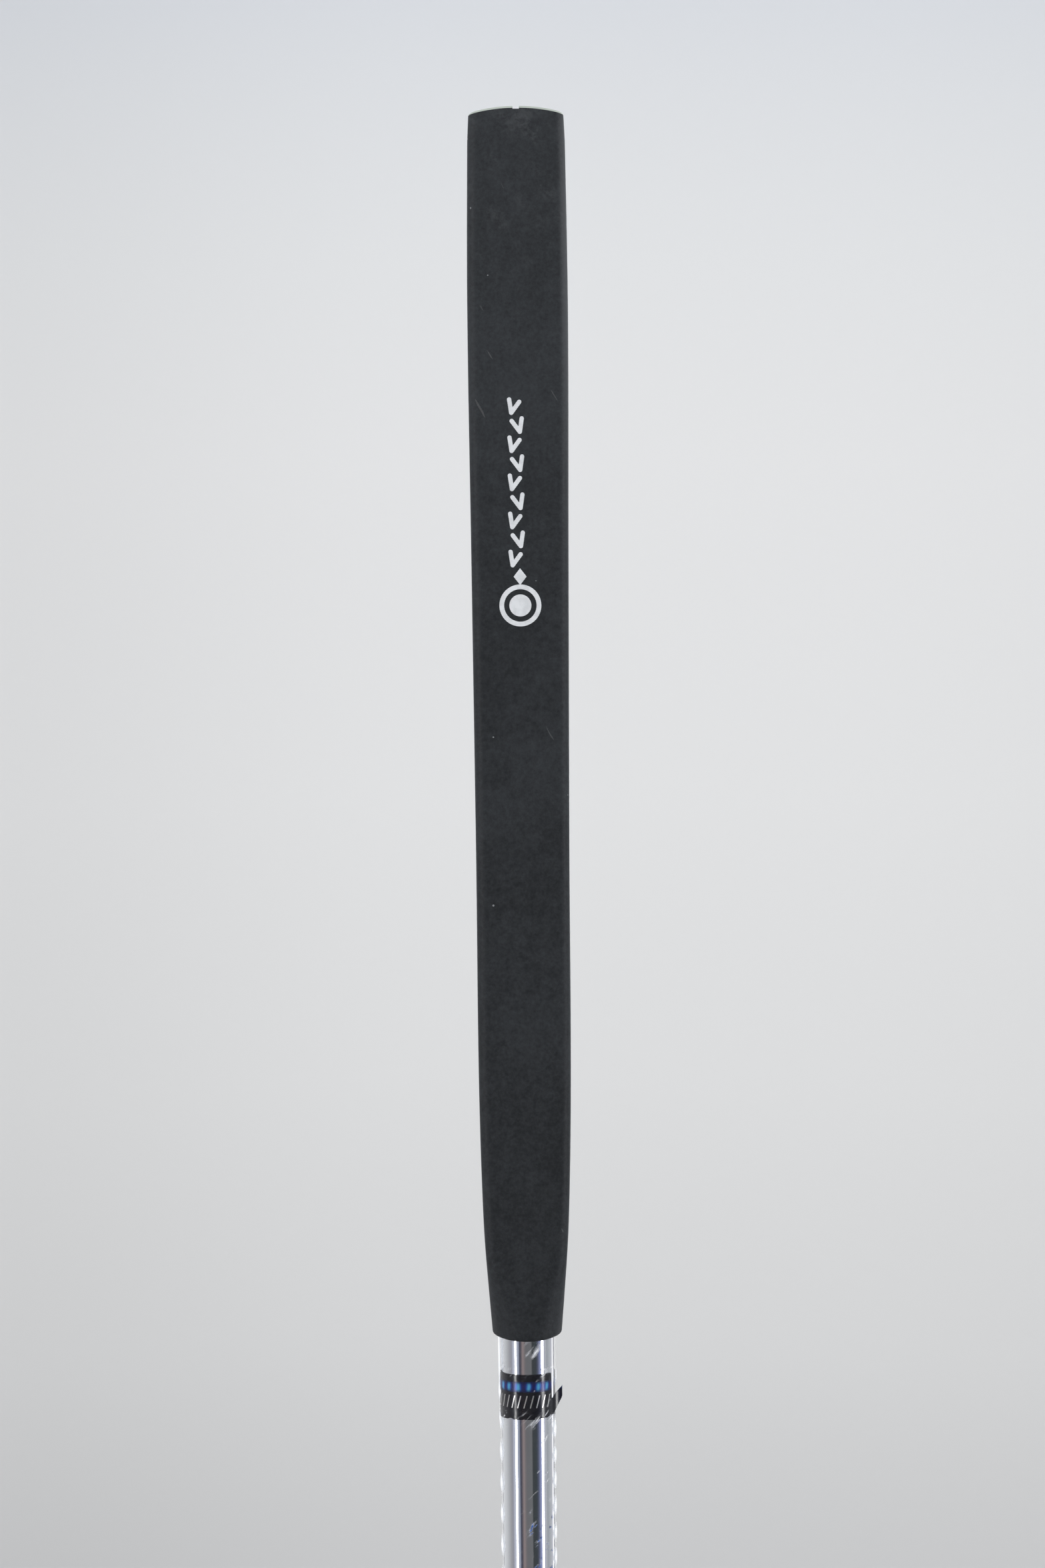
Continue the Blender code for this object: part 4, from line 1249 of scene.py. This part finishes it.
    def marks(self) -> None:
        """Fills the moulded marks: a column of chevrons over a ring with a round boss."""
        paint = PaintFill("mark_paint", self.club, (0.85, 0.87, 0.88), 0.42)
        length = self.rim - self.mouth
        first, pitch = length - 69.85 * MM, 4.4 * MM
        seed = self.chevron("grip_chevrons", 3.9 * MM, 3.4 * MM, 1.0 * MM)
        column = Row(
            "chevron_column", 9, Vector((0, 0, -pitch)), Vector((-0.62 * MM, 0, 0)), tilt=math.radians(14)
        ).repeat(seed, paint)
        slope = (self.front(length) - self.front(0)) / length
        lean = Matrix.Rotation(math.atan(slope), 4, "X")
        aside = Vector((-0.72 * MM, 0, 0))
        column.data.transform(Matrix.Translation(self.on_front(first, 0.03 * MM) + aside) @ lean)
        self.fit(self.club.place(column), "sight_enamel", "club")
        lozenge = self.lozenge("grip_lozenge", 1.5 * MM, 1.95 * MM, paint)
        lozenge.data.transform(Matrix.Translation(self.on_front(length - 109.1 * MM, 0.03 * MM)) @ lean)
        self.fit(self.club.place(lozenge), "sight_enamel", "club")
        centre = length - 115.75 * MM
        for name, outer, inner in (("grip_mark_ring", 4.85, 3.75), ("grip_mark_boss", 2.55, 0.0)):
            mark = self.disc(name, outer * MM, inner * MM, paint)
            mark.data.transform(Matrix.Translation(self.on_front(centre, 0.03 * MM)) @ lean)
            self.fit(self.club.place(mark), "sight_enamel", "club")

    def chevron(self, name: str, tall: float, wide: float, stroke: float) -> bpy.types.Object:
        """A flat chevron with round ends, drawn about the origin in the XZ plane."""
        half = stroke / 2
        tip, arm = Vector((0, 0, -tall / 2 + half)), Vector((wide / 2 - half, 0, tall / 2 - half))
        way = (arm - tip).normalized()
        side = Vector((way.z, 0, -way.x))
        ends = [arm + (side * math.cos(a) + way * math.sin(a)) * half for a in self.turns(0, 180, 8)]
        inner = tip + Vector((0, 0, half / way.x))
        foot = [tip + (side * math.cos(a) - way * math.sin(a)) * half for a in self.turns(40, 0, 4)]
        right = [tip - Vector((0, 0, half))] + foot + ends + [inner]
        left = [Vector((-p.x, 0, p.z)) for p in right[1:-1]]
        loop = right + left[::-1]
        rings = [[p + Vector((0, y, 0)) for p in loop] for y in (0.0, -0.07 * MM)]
        return skin(name, rings, Ends.CAPPED)

    @staticmethod
    def lozenge(name: str, half_width: float, half_height: float, finish: Finish) -> bpy.types.Object:
        """A flat lozenge in the XZ plane, facing negative Y."""
        corners = ((half_width, 0), (0, half_height), (-half_width, 0), (0, -half_height))
        rings = [
            [Vector((x * size, y, z * size)) for x, z in corners]
            for y, size in ((0.0, 1.0), (-0.04 * MM, 1.0), (-0.07 * MM, 0.94))
        ]
        return skin(name, rings, Ends.CAPPED, finish)

    @staticmethod
    def turns(start: float, end: float, steps: int) -> list[float]:
        """Angles from start to end, given in degrees, in radians."""
        return [math.radians(mix(start, end, i / steps)) for i in range(steps + 1)]

    @staticmethod
    def disc(name: str, outer: float, inner: float, finish: Finish) -> bpy.types.Object:
        """A flat ring or disc in the XZ plane, facing negative Y."""
        deep, ease = 0.07 * MM, 0.03 * MM
        profile = [(outer, 0.0), (outer, -deep + ease), (outer - ease, -deep)]
        if inner:
            profile += [(inner + ease, -deep), (inner, -deep + ease), (inner, 0.0)]
        angles = [2 * math.pi * i / 64 for i in range(64)]
        rings = [[Vector((r * math.cos(a), y, r * math.sin(a))) for a in angles] for r, y in profile]
        return skin(name, rings, Ends.JOINED if inner else Ends.CAPPED, finish)


@dataclass
class Head(Assembly):
    """The head casting, the insert and its screws, the sight line and the sole weights."""

    gap: float = 0.3 * MM
    front: float = 13 * MM
    height: float = 25 * MM
    wall: float = 8 * MM
    flange: float = 6 * MM
    mass: float = 12.5 * MM
    mass_length: float = 24 * MM
    ramp: float = 3 * MM
    top_corner: float = 8 * MM
    plan_corner: float = 10 * MM
    sole_rise: float = 1.6 * MM
    end_edge: float = 1.6 * MM
    insert_corner: float = 4 * MM
    neck_notch: float = 2.2 * MM
    shank: float = 4.5 * MM
    pitch: float = 1.0 * MM
    thread_depth: float = 0.5 * MM

    def __post_init__(self) -> None:
        """Reads the head's box and mixes its finishes."""
        low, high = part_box("head_body")
        self.length, self.rear = high.y - low.y, low.x
        self.dark = Machined("black_screw_steel", OWN, (0.06, 0.06, 0.065), 0.34, 1.0, depth=0.006)

    def face_x(self, z: float) -> float:
        """Where the lofted face is at a height above the sole."""
        x_axis = self.face.matrix.col[0]
        return self.front - z * x_axis.z / x_axis.x

    def section(self, y: float, inset: float) -> Ring:
        """One slice across the head: blade wall, cavity or mass, and flange."""
        reach, half = abs(y), self.length / 2

        def corner(radius: float) -> float:
            """How much a corner of this radius has taken off."""
            into = min(max((reach - (half - radius)) / radius, 0.0), 1.0)
            return radius * (1 - math.sqrt(1 - into * into))

        top, rear = self.height - corner(self.top_corner), self.rear + corner(self.plan_corner)
        low = self.sole_rise * smoothstep((reach - (half - self.top_corner)) / self.top_corner)
        cavity = self.length / 2 - self.mass_length - self.ramp
        floor = mix(self.flange, self.mass, smoothstep((reach - cavity) / self.ramp))
        wall_top, wall_foot = self.face_x(top) - self.wall, self.face_x(floor) - self.wall
        lead, edge, fillet, rim, heel = 2 * MM, 1.2 * MM, 2.2 * MM, 1.4 * MM, 2.6 * MM
        flat = arc((self.face_x(low) - lead, low + lead), lead, -90, 0, 8)
        flat += arc((self.face_x(top) - edge, top - edge), edge, 0, 90, 8)
        flat += arc((wall_top + edge, top - edge), edge, 90, 180, 8)
        flat += arc((wall_foot - fillet, floor + fillet), fillet, 0, -90, 8)
        flat += arc((rear + rim, floor - rim), rim, 90, 180, 8)
        flat += arc((rear + heel, low + heel), heel, 180, 270, 8)
        mid_x, mid_z = (self.face_x(0) + rear) / 2, (top + low) / 2
        keep_x = 1 - 2 * inset / (self.face_x(0) - rear)
        keep_z = 1 - 2 * inset / (top - low)
        return [Vector((mid_x + (x - mid_x) * keep_x, y, mid_z + (z - mid_z) * keep_z)) for x, z in flat]

    def stations(self) -> list[tuple[float, float]]:
        """Slice places from toe to heel as (y, inset)."""
        half = self.length / 2
        cavity = half - self.mass_length - self.ramp
        side = [(cavity * 0.5, 0.0)] + [(cavity + self.ramp * i / 10, 0.0) for i in range(11)]
        for a in range(0, 91, 5):
            reach = half - self.plan_corner * (1 - math.sin(math.radians(a)))
            over = max((reach - half + self.end_edge) / self.end_edge, 0.0)
            side.append((reach, self.end_edge * (1 - math.sqrt(max(1 - over * over, 0.0)))))
        return [(-y, inset) for y, inset in reversed(side)] + [(0.0, 0.0)] + side

    def build(self) -> None:
        """Makes every piece of the head."""
        self.casting()
        self.insert()
        self.sight_line()
        for name in ("toe", "heel"):
            self.weight(name)
            self.ring(name)
        for name in ("insert_screw_toe", "insert_screw_heel", "neck_screw_inner", "neck_screw_outer"):
            self.fit(self.copy(name, self.dark, 0.15 * MM), "screw_steel", "club", name)
        self.keep("insert_pad", Finish("pad_foam", OWN, (0.03, 0.03, 0.034), 0.85))

    def casting(self) -> None:
        """Lofts the casting and cuts every pocket and hole."""
        slices = [self.section(y, inset) for y, inset in self.stations()]
        obj = skin("head_casting", slices, Ends.CAPPED, SATIN_STEEL)
        low, high = self.face.span(self.frame["nodes"]["face_insert"])
        pad_low = self.face.span(self.frame["nodes"]["insert_pad"])[0]
        room = Vector((0, self.gap, self.gap))
        floor = Vector((pad_low.x - self.gap, low.y, low.z))
        mouth = Vector((MM, high.y, high.z))
        corner = self.insert_corner + self.gap
        carve(obj, slab("tool", floor - room, mouth + room, corner, None, self.face, "X"))
        for name in ("toe", "heel"):
            carve(obj, self.face.place(self.screw_tool(name, -9 * MM, 0)))
            carve(obj, self.weight_tool(name))
        (start, end), rear = self.neck_foot(), self.face_x(0) - self.wall - self.neck_notch
        notch_low = (rear, start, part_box("neck")[0].z - self.gap)
        notch_high = (self.front + MM, end, self.height + MM)
        carve(obj, slab("tool", notch_low, notch_high, 0.3 * MM))
        wide, deep = 3.05 * MM, 3.1 * MM
        profile = ((wide, -MM), (wide, deep), (SCREW_BORE, deep), (SCREW_BORE, 23 * MM))
        for name in ("neck_screw_inner", "neck_screw_outer"):
            centre = middle(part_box(name)).xy
            carve(obj, turned("tool", profile, Ends.CAPPED, centre=centre, sides=48))
        low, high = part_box("sight_line")
        under, over = Vector((self.gap,) * 3), Vector((self.gap, self.gap, MM))
        carve(obj, slab("tool", low - under, high + over, 0.6 * MM))
        self.fit(even(obj), "satin_steel", "club", "head_body")

    def neck_foot(self) -> tuple[float, float]:
        """The notch's ends along the head."""
        half = 8 * MM
        centre = (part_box("neck_screw_inner")[0].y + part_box("neck_screw_outer")[1].y) / 2
        return centre - half, centre + half

    def screw_tool(self, name: str, low: float, high: float) -> bpy.types.Object:
        """The tool for an insert screw's hole between two depths in the face's axes."""
        at = middle(self.face.span(self.frame["nodes"]["insert_screw_" + name]))
        hole = turned("tool", ((SCREW_BORE, low), (SCREW_BORE, high)), Ends.CAPPED, sides=48)
        hole.data.transform(Matrix.Translation((0, at.y, at.z)) @ ACROSS_TO_X)
        return hole

    def weight_tool(self, name: str) -> bpy.types.Object:
        """The tool for a weight's stepped hole, with a small chamfer at its mouth."""
        low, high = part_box(name + "_weight")
        radius = (high.x - low.x) / 2 + self.gap
        bore = self.shank + self.gap
        seat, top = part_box(name + "_weight_ring")[1].z + self.gap, high.z + self.gap
        profile = ((radius + 1.4 * MM, -MM), (radius, 0.4 * MM), (radius, seat), (bore, seat), (bore, top))
        return turned("tool", profile, Ends.CAPPED, centre=middle((low, high)).xy, sides=96)

    def insert(self) -> None:
        """Cuts shallow horizontal grooves across the insert."""
        alloy = Machined("insert_alloy", OWN, (0.155, 0.16, 0.17), 0.36, 1.0, (500.0, 40.0, 500.0))
        low, high = self.face.span(self.frame["nodes"]["face_insert"])
        plate = slab("insert_plate", low, high, self.insert_corner, alloy, None, "X", 0.2 * MM)
        pitch, depth = 0.85 * MM, 0.12 * MM
        count = int((high.z - low.z - 2.4 * MM) / pitch)
        start = (low.z + high.z - pitch * (count - 1)) / 2
        across = [(0.32 * MM, 0.0), (0.0, -depth), (-0.32 * MM, 0.0), (0.0, 0.4 * MM)]
        rings = [[Vector((x, y, z)) for z, x in across] for y in (low.y - MM, high.y + MM)]
        grooves = Row("groove_row", count, Vector((0, 0, pitch))).repeat(
            skin("tool", rings, Ends.CAPPED), alloy
        )
        grooves.data.transform(Matrix.Translation((0, 0, start)))
        carve(plate, grooves)
        for name in ("toe", "heel"):
            carve(plate, self.screw_tool(name, -5 * MM, -1.2 * MM))
        self.fit(self.face.place(even(plate, 25)), "insert_alloy", "club", "face_insert")

    def sight_line(self) -> None:
        """Lays the enamelled bar in its groove."""
        low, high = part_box("sight_line")
        enamel = PaintFill("sight_enamel", OWN, (0.80, 0.80, 0.78), 0.3)
        obj = slab("sight_line_bar", low, high, 0.4 * MM, enamel, None, "Z", 0.12 * MM)
        self.fit(obj, "sight_enamel", "club", "sight_line")

    def weight(self, name: str) -> None:
        """Turns a sole weight with a real thread, a chamfered flange and a key socket."""
        steel = Machined("weight_steel", OWN, (0.42, 0.42, 0.43), 0.28, 1.0, (300.0, 300.0, 300.0))
        (low, high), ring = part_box(name + "_weight"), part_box(name + "_weight_ring")
        centre, sides = middle((low, high)).xy, 64
        flange, under = (high.x - low.x) / 2, ring[0].z - self.gap
        root, thread_low = self.shank - self.thread_depth, ring[1].z + 0.1 * MM
        chamfer, ease = 0.5 * MM, 0.2 * MM
        profile = [(0.62 * flange, low.z + 0.15 * MM), (0.66 * flange, low.z), (flange - chamfer, low.z)]
        profile += [(flange, low.z + chamfer), (flange, under - ease), (flange - ease, under)]
        profile += [(root, under), (root, thread_low)]
        rings = [circle(r, z, sides, centre) for r, z in profile]
        steps = int((high.z - thread_low) / (self.pitch / 12))
        for i in range(1, steps):
            z = mix(thread_low, high.z - 0.1 * MM, i / steps)
            fade = min(1.0, (z - thread_low) / (0.6 * MM), (high.z - z) / (0.5 * MM))
            turn = []
            for k in range(sides):
                a = 2 * math.pi * k / sides
                phase = (z / self.pitch - k / sides) % 1.0
                crest = 1 - abs(2 * phase - 1)
                r = root + self.thread_depth * fade * smoothstep(crest * 1.3)
                turn.append(Vector((centre.x + r * math.cos(a), centre.y + r * math.sin(a), z)))
            rings.append(turn)
        rings.append(circle(root - ease, high.z, sides, centre))
        obj = skin(name + "_weight_turned", rings, Ends.CAPPED, steel)
        key = [circle(2.9 * MM, z, 6, centre) for z in (low.z - MM, low.z + 3 * MM)]
        carve(obj, skin("tool", key, Ends.CAPPED))
        self.fit(even(obj, 32), "weight_steel", name + "_plug", name + "_weight")

    def ring(self, name: str) -> None:
        """Makes the rubber ring under a weight's flange."""
        low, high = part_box(name + "_weight_ring")
        centre, section = middle((low, high)), (high.z - low.z) / 2
        radius = (high.x - low.x) / 2 - section
        rubber = Finish("ring_rubber", OWN, (0.012, 0.012, 0.013), 0.5)
        profile = arc((radius, centre.z), section, 0, 337.5, 15)
        obj = turned(name + "_weight_seal", profile, Ends.JOINED, rubber, None, centre.xy, 64)
        self.fit(obj, "ring_rubber", name + "_ring", name + "_weight_ring")


@dataclass
class Neck(Assembly):
    """The bolt-on neck and the ferrule above it."""

    gap: float = 0.3 * MM
    hosel_radius: float = 6.4 * MM
    tip_radius: float = 4.7 * MM
    post_half: float = 6.2 * MM
    post_thick: float = 7.4 * MM
    post_corner: float = 2.4 * MM
    leg_height: float = 9 * MM
    blend: float = 2.4 * MM
    hosel_length: float = 34 * MM
    foot_half: float = 7.7 * MM
    foot_corner: float = 1.6 * MM
    foot_top: float = 27.4 * MM
    rim_share: float = 0.955

    def __post_init__(self) -> None:
        """Reads the neck's places."""
        self.top = self.heights("ferrule")[0] - self.gap
        self.leg = self.top - self.hosel_length - self.leg_height
        self.screw_x = middle(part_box("neck_screw_inner")).x
        self.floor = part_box("neck")[0].z

    def slice(self, z: float) -> Ring:
        """One level slice: a post, a leg reaching forward, then a round hosel."""
        forward = smoothstep((z - self.leg) / self.blend)
        behind = smoothstep((z - self.leg - self.leg_height) / self.blend)
        centre = self.screw_x - self.club.matrix.translation.x
        rear = mix(centre - self.post_thick / 2, -self.hosel_radius, behind)
        front = mix(centre + self.post_thick / 2, self.hosel_radius, forward)
        half = mix(self.post_half, self.hosel_radius, forward)
        ahead, back = (mix(self.post_corner, self.hosel_radius - 0.05 * MM, s) for s in (forward, behind))
        flat = arc((front - ahead, ahead - half), ahead, -90, 0, 18)
        flat += arc((front - ahead, half - ahead), ahead, 0, 90, 18)
        flat += arc((rear + back, half - back), back, 90, 180, 18)
        flat += arc((rear + back, back - half), back, 180, 270, 18)
        return [Vector((x, y, z)) for x, y in flat]

    def build(self) -> None:
        """Makes the neck and the ferrule."""
        foot_y = (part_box("neck_screw_inner")[0].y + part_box("neck_screw_outer")[1].y) / 2
        lie = self.club.matrix.col[2].z
        start = (self.floor + self.post_half * math.sqrt(1 - lie * lie) + self.gap) / lie
        heights = [start] + [self.leg + self.blend * i / 12 for i in range(13)]
        heights += [self.leg + self.leg_height + self.blend * i / 12 for i in range(13)]
        heights += [self.top - 0.3 * MM, self.top]
        rings = [self.slice(z) for z in heights]
        rings[-1] = [Vector((p.x * self.rim_share, p.y * self.rim_share, p.z)) for p in rings[-1]]
        obj = skin("neck_casting", rings, Ends.CAPPED, SATIN_STEEL, self.club)
        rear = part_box("neck")[0].x
        foot_low = (rear, foot_y - self.foot_half, self.floor)
        foot_high = (rear + self.post_thick, foot_y + self.foot_half, self.foot_top)
        foot = slab("tool", foot_low, foot_high, self.foot_corner, SATIN_STEEL, None, "Z", 0.7 * MM)
        carve(obj, foot, "UNION")
        bore = self.tip_radius + self.gap
        tip = self.heights("shaft")[0] - self.gap
        profile = ((bore, tip), (bore, self.top - 0.5 * MM), (bore + 0.6 * MM, self.top + 0.1 * MM))
        carve(obj, turned("tool", profile, Ends.CAPPED, None, self.club))
        for name in ("neck_screw_inner", "neck_screw_outer"):
            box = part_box(name)
            hole = ((SCREW_BORE, self.floor - MM), (SCREW_BORE, box[1].z + self.gap))
            carve(obj, turned("tool", hole, Ends.CAPPED, centre=middle(box).xy, sides=48))
        self.fit(even(obj), "satin_steel", "club", "neck")
        self.ferrule()

    def ferrule(self) -> None:
        """Turns the ferrule with two fine grooves and a rounded lip."""
        low, high = self.heights("ferrule")
        bore, lip = self.tip_radius + self.gap, self.tip_radius + self.gap + 1.1 * MM
        length = high - low
        black = Finish("ferrule_black", self.club, (0.006, 0.006, 0.007), 0.12)
        profile = [(bore, low), (self.hosel_radius - 0.1 * MM, low), (self.hosel_radius, low + 0.1 * MM)]
        for at in (0.12, 0.2):
            z, deep = low + length * at, 0.16 * MM
            profile += [
                (self.hosel_radius, z - deep), (self.hosel_radius - deep, z), (self.hosel_radius, z + deep)
            ]
        for i in range(13):
            share = i / 12
            radius = mix(self.hosel_radius, lip, math.sin(share * math.pi / 2) ** 0.8)
            profile.append((radius, low + length * mix(0.28, 0.94, share)))
        profile += [(x, z) for x, z in arc((lip - 0.45 * MM, high - 0.45 * MM), 0.45 * MM, 0, 90, 6)]
        profile.append((bore, high))
        obj = turned("ferrule_collar", profile, Ends.JOINED, black, self.club)
        self.fit(obj, "ferrule_black", "club", "ferrule")


# ------------------------------------------------------------------ stage


@dataclass(frozen=True)
class Studio:
    """The floor, the light round the club and the camera."""

    club: Axes
    eye_distance: float = 0.750
    frame_height: float = 0.3667
    look_height: float = 0.7061
    look_aside: float = 0.0001
    roll: float = -0.545
    long_side: float = 36.0
    strip_glow: float = 11.0

    def build(self) -> None:
        """Sets the whole stage."""
        self.floor()
        self.light()
        self.camera()
        bpy.context.scene.view_settings.view_transform = "Standard"

    def floor(self) -> None:
        """A wide pale floor with painted shade: darkest at the club's foot like a painted shadow, so a little
        brighter behind the club, darker and bluer far away, and a little darker towards its sides.
        """
        half = 40.0
        mesh = bpy.data.meshes.new("floor")
        corners = [(-half, -half, 0), (half, -half, 0), (half, half, 0), (-half, half, 0)]
        mesh.from_pydata(corners, [], [(0, 1, 2, 3)])
        obj = bpy.data.objects.new("floor", mesh)
        bpy.context.scene.collection.objects.link(obj)
        made = bpy.data.materials.new("floor_paper")
        made.use_nodes = True
        tree = Tree(made.node_tree)
        shader = made.node_tree.nodes["Principled BSDF"]
        x, y, _ = tree.parts(tree.node("ShaderNodeTexCoord", output="Object"))
        away = (x * x + y * y).maths("SQRT")
        # painted shade: the floor's brightness ramp by distance from the club stands in for a shadow at its
        # foot and the light's falloff
        paper_and_painted_shade = (away / 8.0).ramp(
            (
                (0.03, (0.36, 0.36, 0.355)),
                (0.12, (0.625, 0.625, 0.615)),
                (0.147, (0.713, 0.713, 0.70)),
                (0.19, (0.775, 0.775, 0.76)),
                (0.26, (0.815, 0.815, 0.80)),
                (0.40, (0.832, 0.832, 0.82)),
                (0.55, (0.815, 0.822, 0.815)),
                (1.0, (0.745, 0.765, 0.785)),
            )
        )
        slant = x / (away + 0.45)
        # painted shade: the floor darkens towards its sides, most towards negative x
        shade = (slant * -1).rise(0.01, 0.19) * 0.10 + slant.rise(0.10, 0.24) * 0.03
        tint = tree.blend(shade, paper_and_painted_shade, (0.0, 0.0, 0.0))
        tree.feed(shader.inputs["Base Color"], tint)
        tree.feed(shader.inputs["Roughness"], 1.0)
        tree.feed(shader.inputs["Specular IOR Level"], 0.0)
        mesh.materials.append(made)
        obj.visible_glossy = False

    def light(self) -> None:
        """Two tall soft boxes either side of a dim camera side, and pale walls elsewhere."""
        world = bpy.data.worlds.new("studio")
        bpy.context.scene.world = world
        world.use_nodes = True
        tree = Tree(world.node_tree)
        way = tree.node("ShaderNodeTexCoord", output="Generated")
        turn = self.club.matrix.to_3x3().to_euler()
        level = tree.node("ShaderNodeMapping", {"vector_type": "TEXTURE"}, {"Vector": way, "Rotation": turn})
        x, y, z = tree.parts(level)
        angle = x.maths("ARCTAN2", y * -1) * (180 / math.pi)
        walls = (
            (-180, (2.2, 2.2, 2.25)),
            (-172, (2.2, 2.2, 2.25)),
            (-168, (0.16, 0.165, 0.18)),
            (-154, (0.22, 0.225, 0.24)),
            (-149, (0.78, 0.79, 0.81)),
            (-115, (0.62, 0.63, 0.65)),
            (-97, (0.47, 0.48, 0.50)),
            (-86, (0.38, 0.38, 0.40)),
            (-74, (0.32, 0.32, 0.37)),
            (-64, (0.55, 0.58, 0.68)),
            (-41, (0.36, 0.39, 0.48)),
            (-35, (0.060, 0.065, 0.10)),
            (-30, (0.09, 0.085, 0.105)),
            (-21, (0.29, 0.235, 0.235)),
            (-13, (0.19, 0.17, 0.175)),
            (-6, (0.150, 0.150, 0.160)),
            (15, (0.155, 0.160, 0.168)),
            (20, (0.048, 0.054, 0.058)),
            (37, (0.045, 0.055, 0.062)),
            (45, (0.085, 0.095, 0.15)),
            (57, (0.30, 0.34, 0.56)),
            (83, (0.50, 0.51, 0.55)),
            (92, (0.36, 0.38, 0.41)),
            (110, (0.46, 0.48, 0.51)),
            (128, (0.56, 0.57, 0.62)),
            (132, (0.66, 0.67, 0.72)),
            (136, (2.3, 2.3, 2.4)),
            (141, (0.80, 0.81, 0.86)),
            (154, (0.22, 0.225, 0.24)),
            (168, (0.16, 0.165, 0.18)),
            (172, (2.2, 2.2, 2.25)),
            (180, (2.2, 2.2, 2.25)),
        )
        room = ((angle + 180) / 360).ramp([((a + 180) / 360, colour) for a, colour in walls])
        left = angle.band(-57, -50.5, 1.4)
        right = angle.band(62.5, 71.5, 1.3)
        height = z.maths("ARCSINE") * (180 / math.pi)
        boxes = (left + right).maths("MINIMUM", 1.0) * height.band(-42, 48, 6.0)
        ceiling = tree.parts(way)[2].rise(0.72, 0.90)
        room = tree.blend(ceiling, room, (0.60, 0.61, 0.62))
        lit = tree.blend(boxes, room, (1.0, 1.0, 1.0))
        strength = boxes * (self.strip_glow - 1.0) + 1.0
        seen = tree.node("ShaderNodeLightPath", output="Is Camera Ray")
        backdrop = tree.blend(seen, lit, tone(214, 217, 220))
        power = seen * (1 - strength) + strength
        background = world.node_tree.nodes["Background"]
        tree.feed(background.inputs["Color"], backdrop)
        tree.feed(background.inputs["Strength"], power)

    def camera(self) -> None:
        """Puts the camera square to the club's front, level with the middle of the grip."""
        data = bpy.data.cameras.new("camera")
        camera = bpy.data.objects.new("camera", data)
        bpy.context.scene.collection.objects.link(camera)
        data.lens = self.long_side * self.eye_distance / self.frame_height
        data.sensor_width = self.long_side
        x, back, up = (self.club.matrix.to_3x3().col[i] for i in range(3))
        target = self.club.matrix @ Vector((self.look_aside, 0, self.look_height))
        camera.location = target - back * self.eye_distance
        basis = Matrix((x, up, -back)).transposed()
        camera.rotation_euler = (basis @ Matrix.Rotation(math.radians(self.roll), 3, "Z")).to_euler()
        data.clip_start, data.clip_end = 0.01, 200.0
        bpy.context.scene.camera = camera


def main() -> None:
    """Loads the frame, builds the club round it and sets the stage."""
    logging.basicConfig(level=logging.INFO, format="%(name)s: %(message)s")
    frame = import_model()
    record = frame["record"]
    club = Axes.from_mount(record, "grip_hold", "Z")
    face = Axes.from_mount(record, "striking_face", "X")
    Studio(club).build()
    for part in (Grip, Shaft, Neck, Head):
        part(frame, club, face).build()


if __name__ == "__main__":
    main()
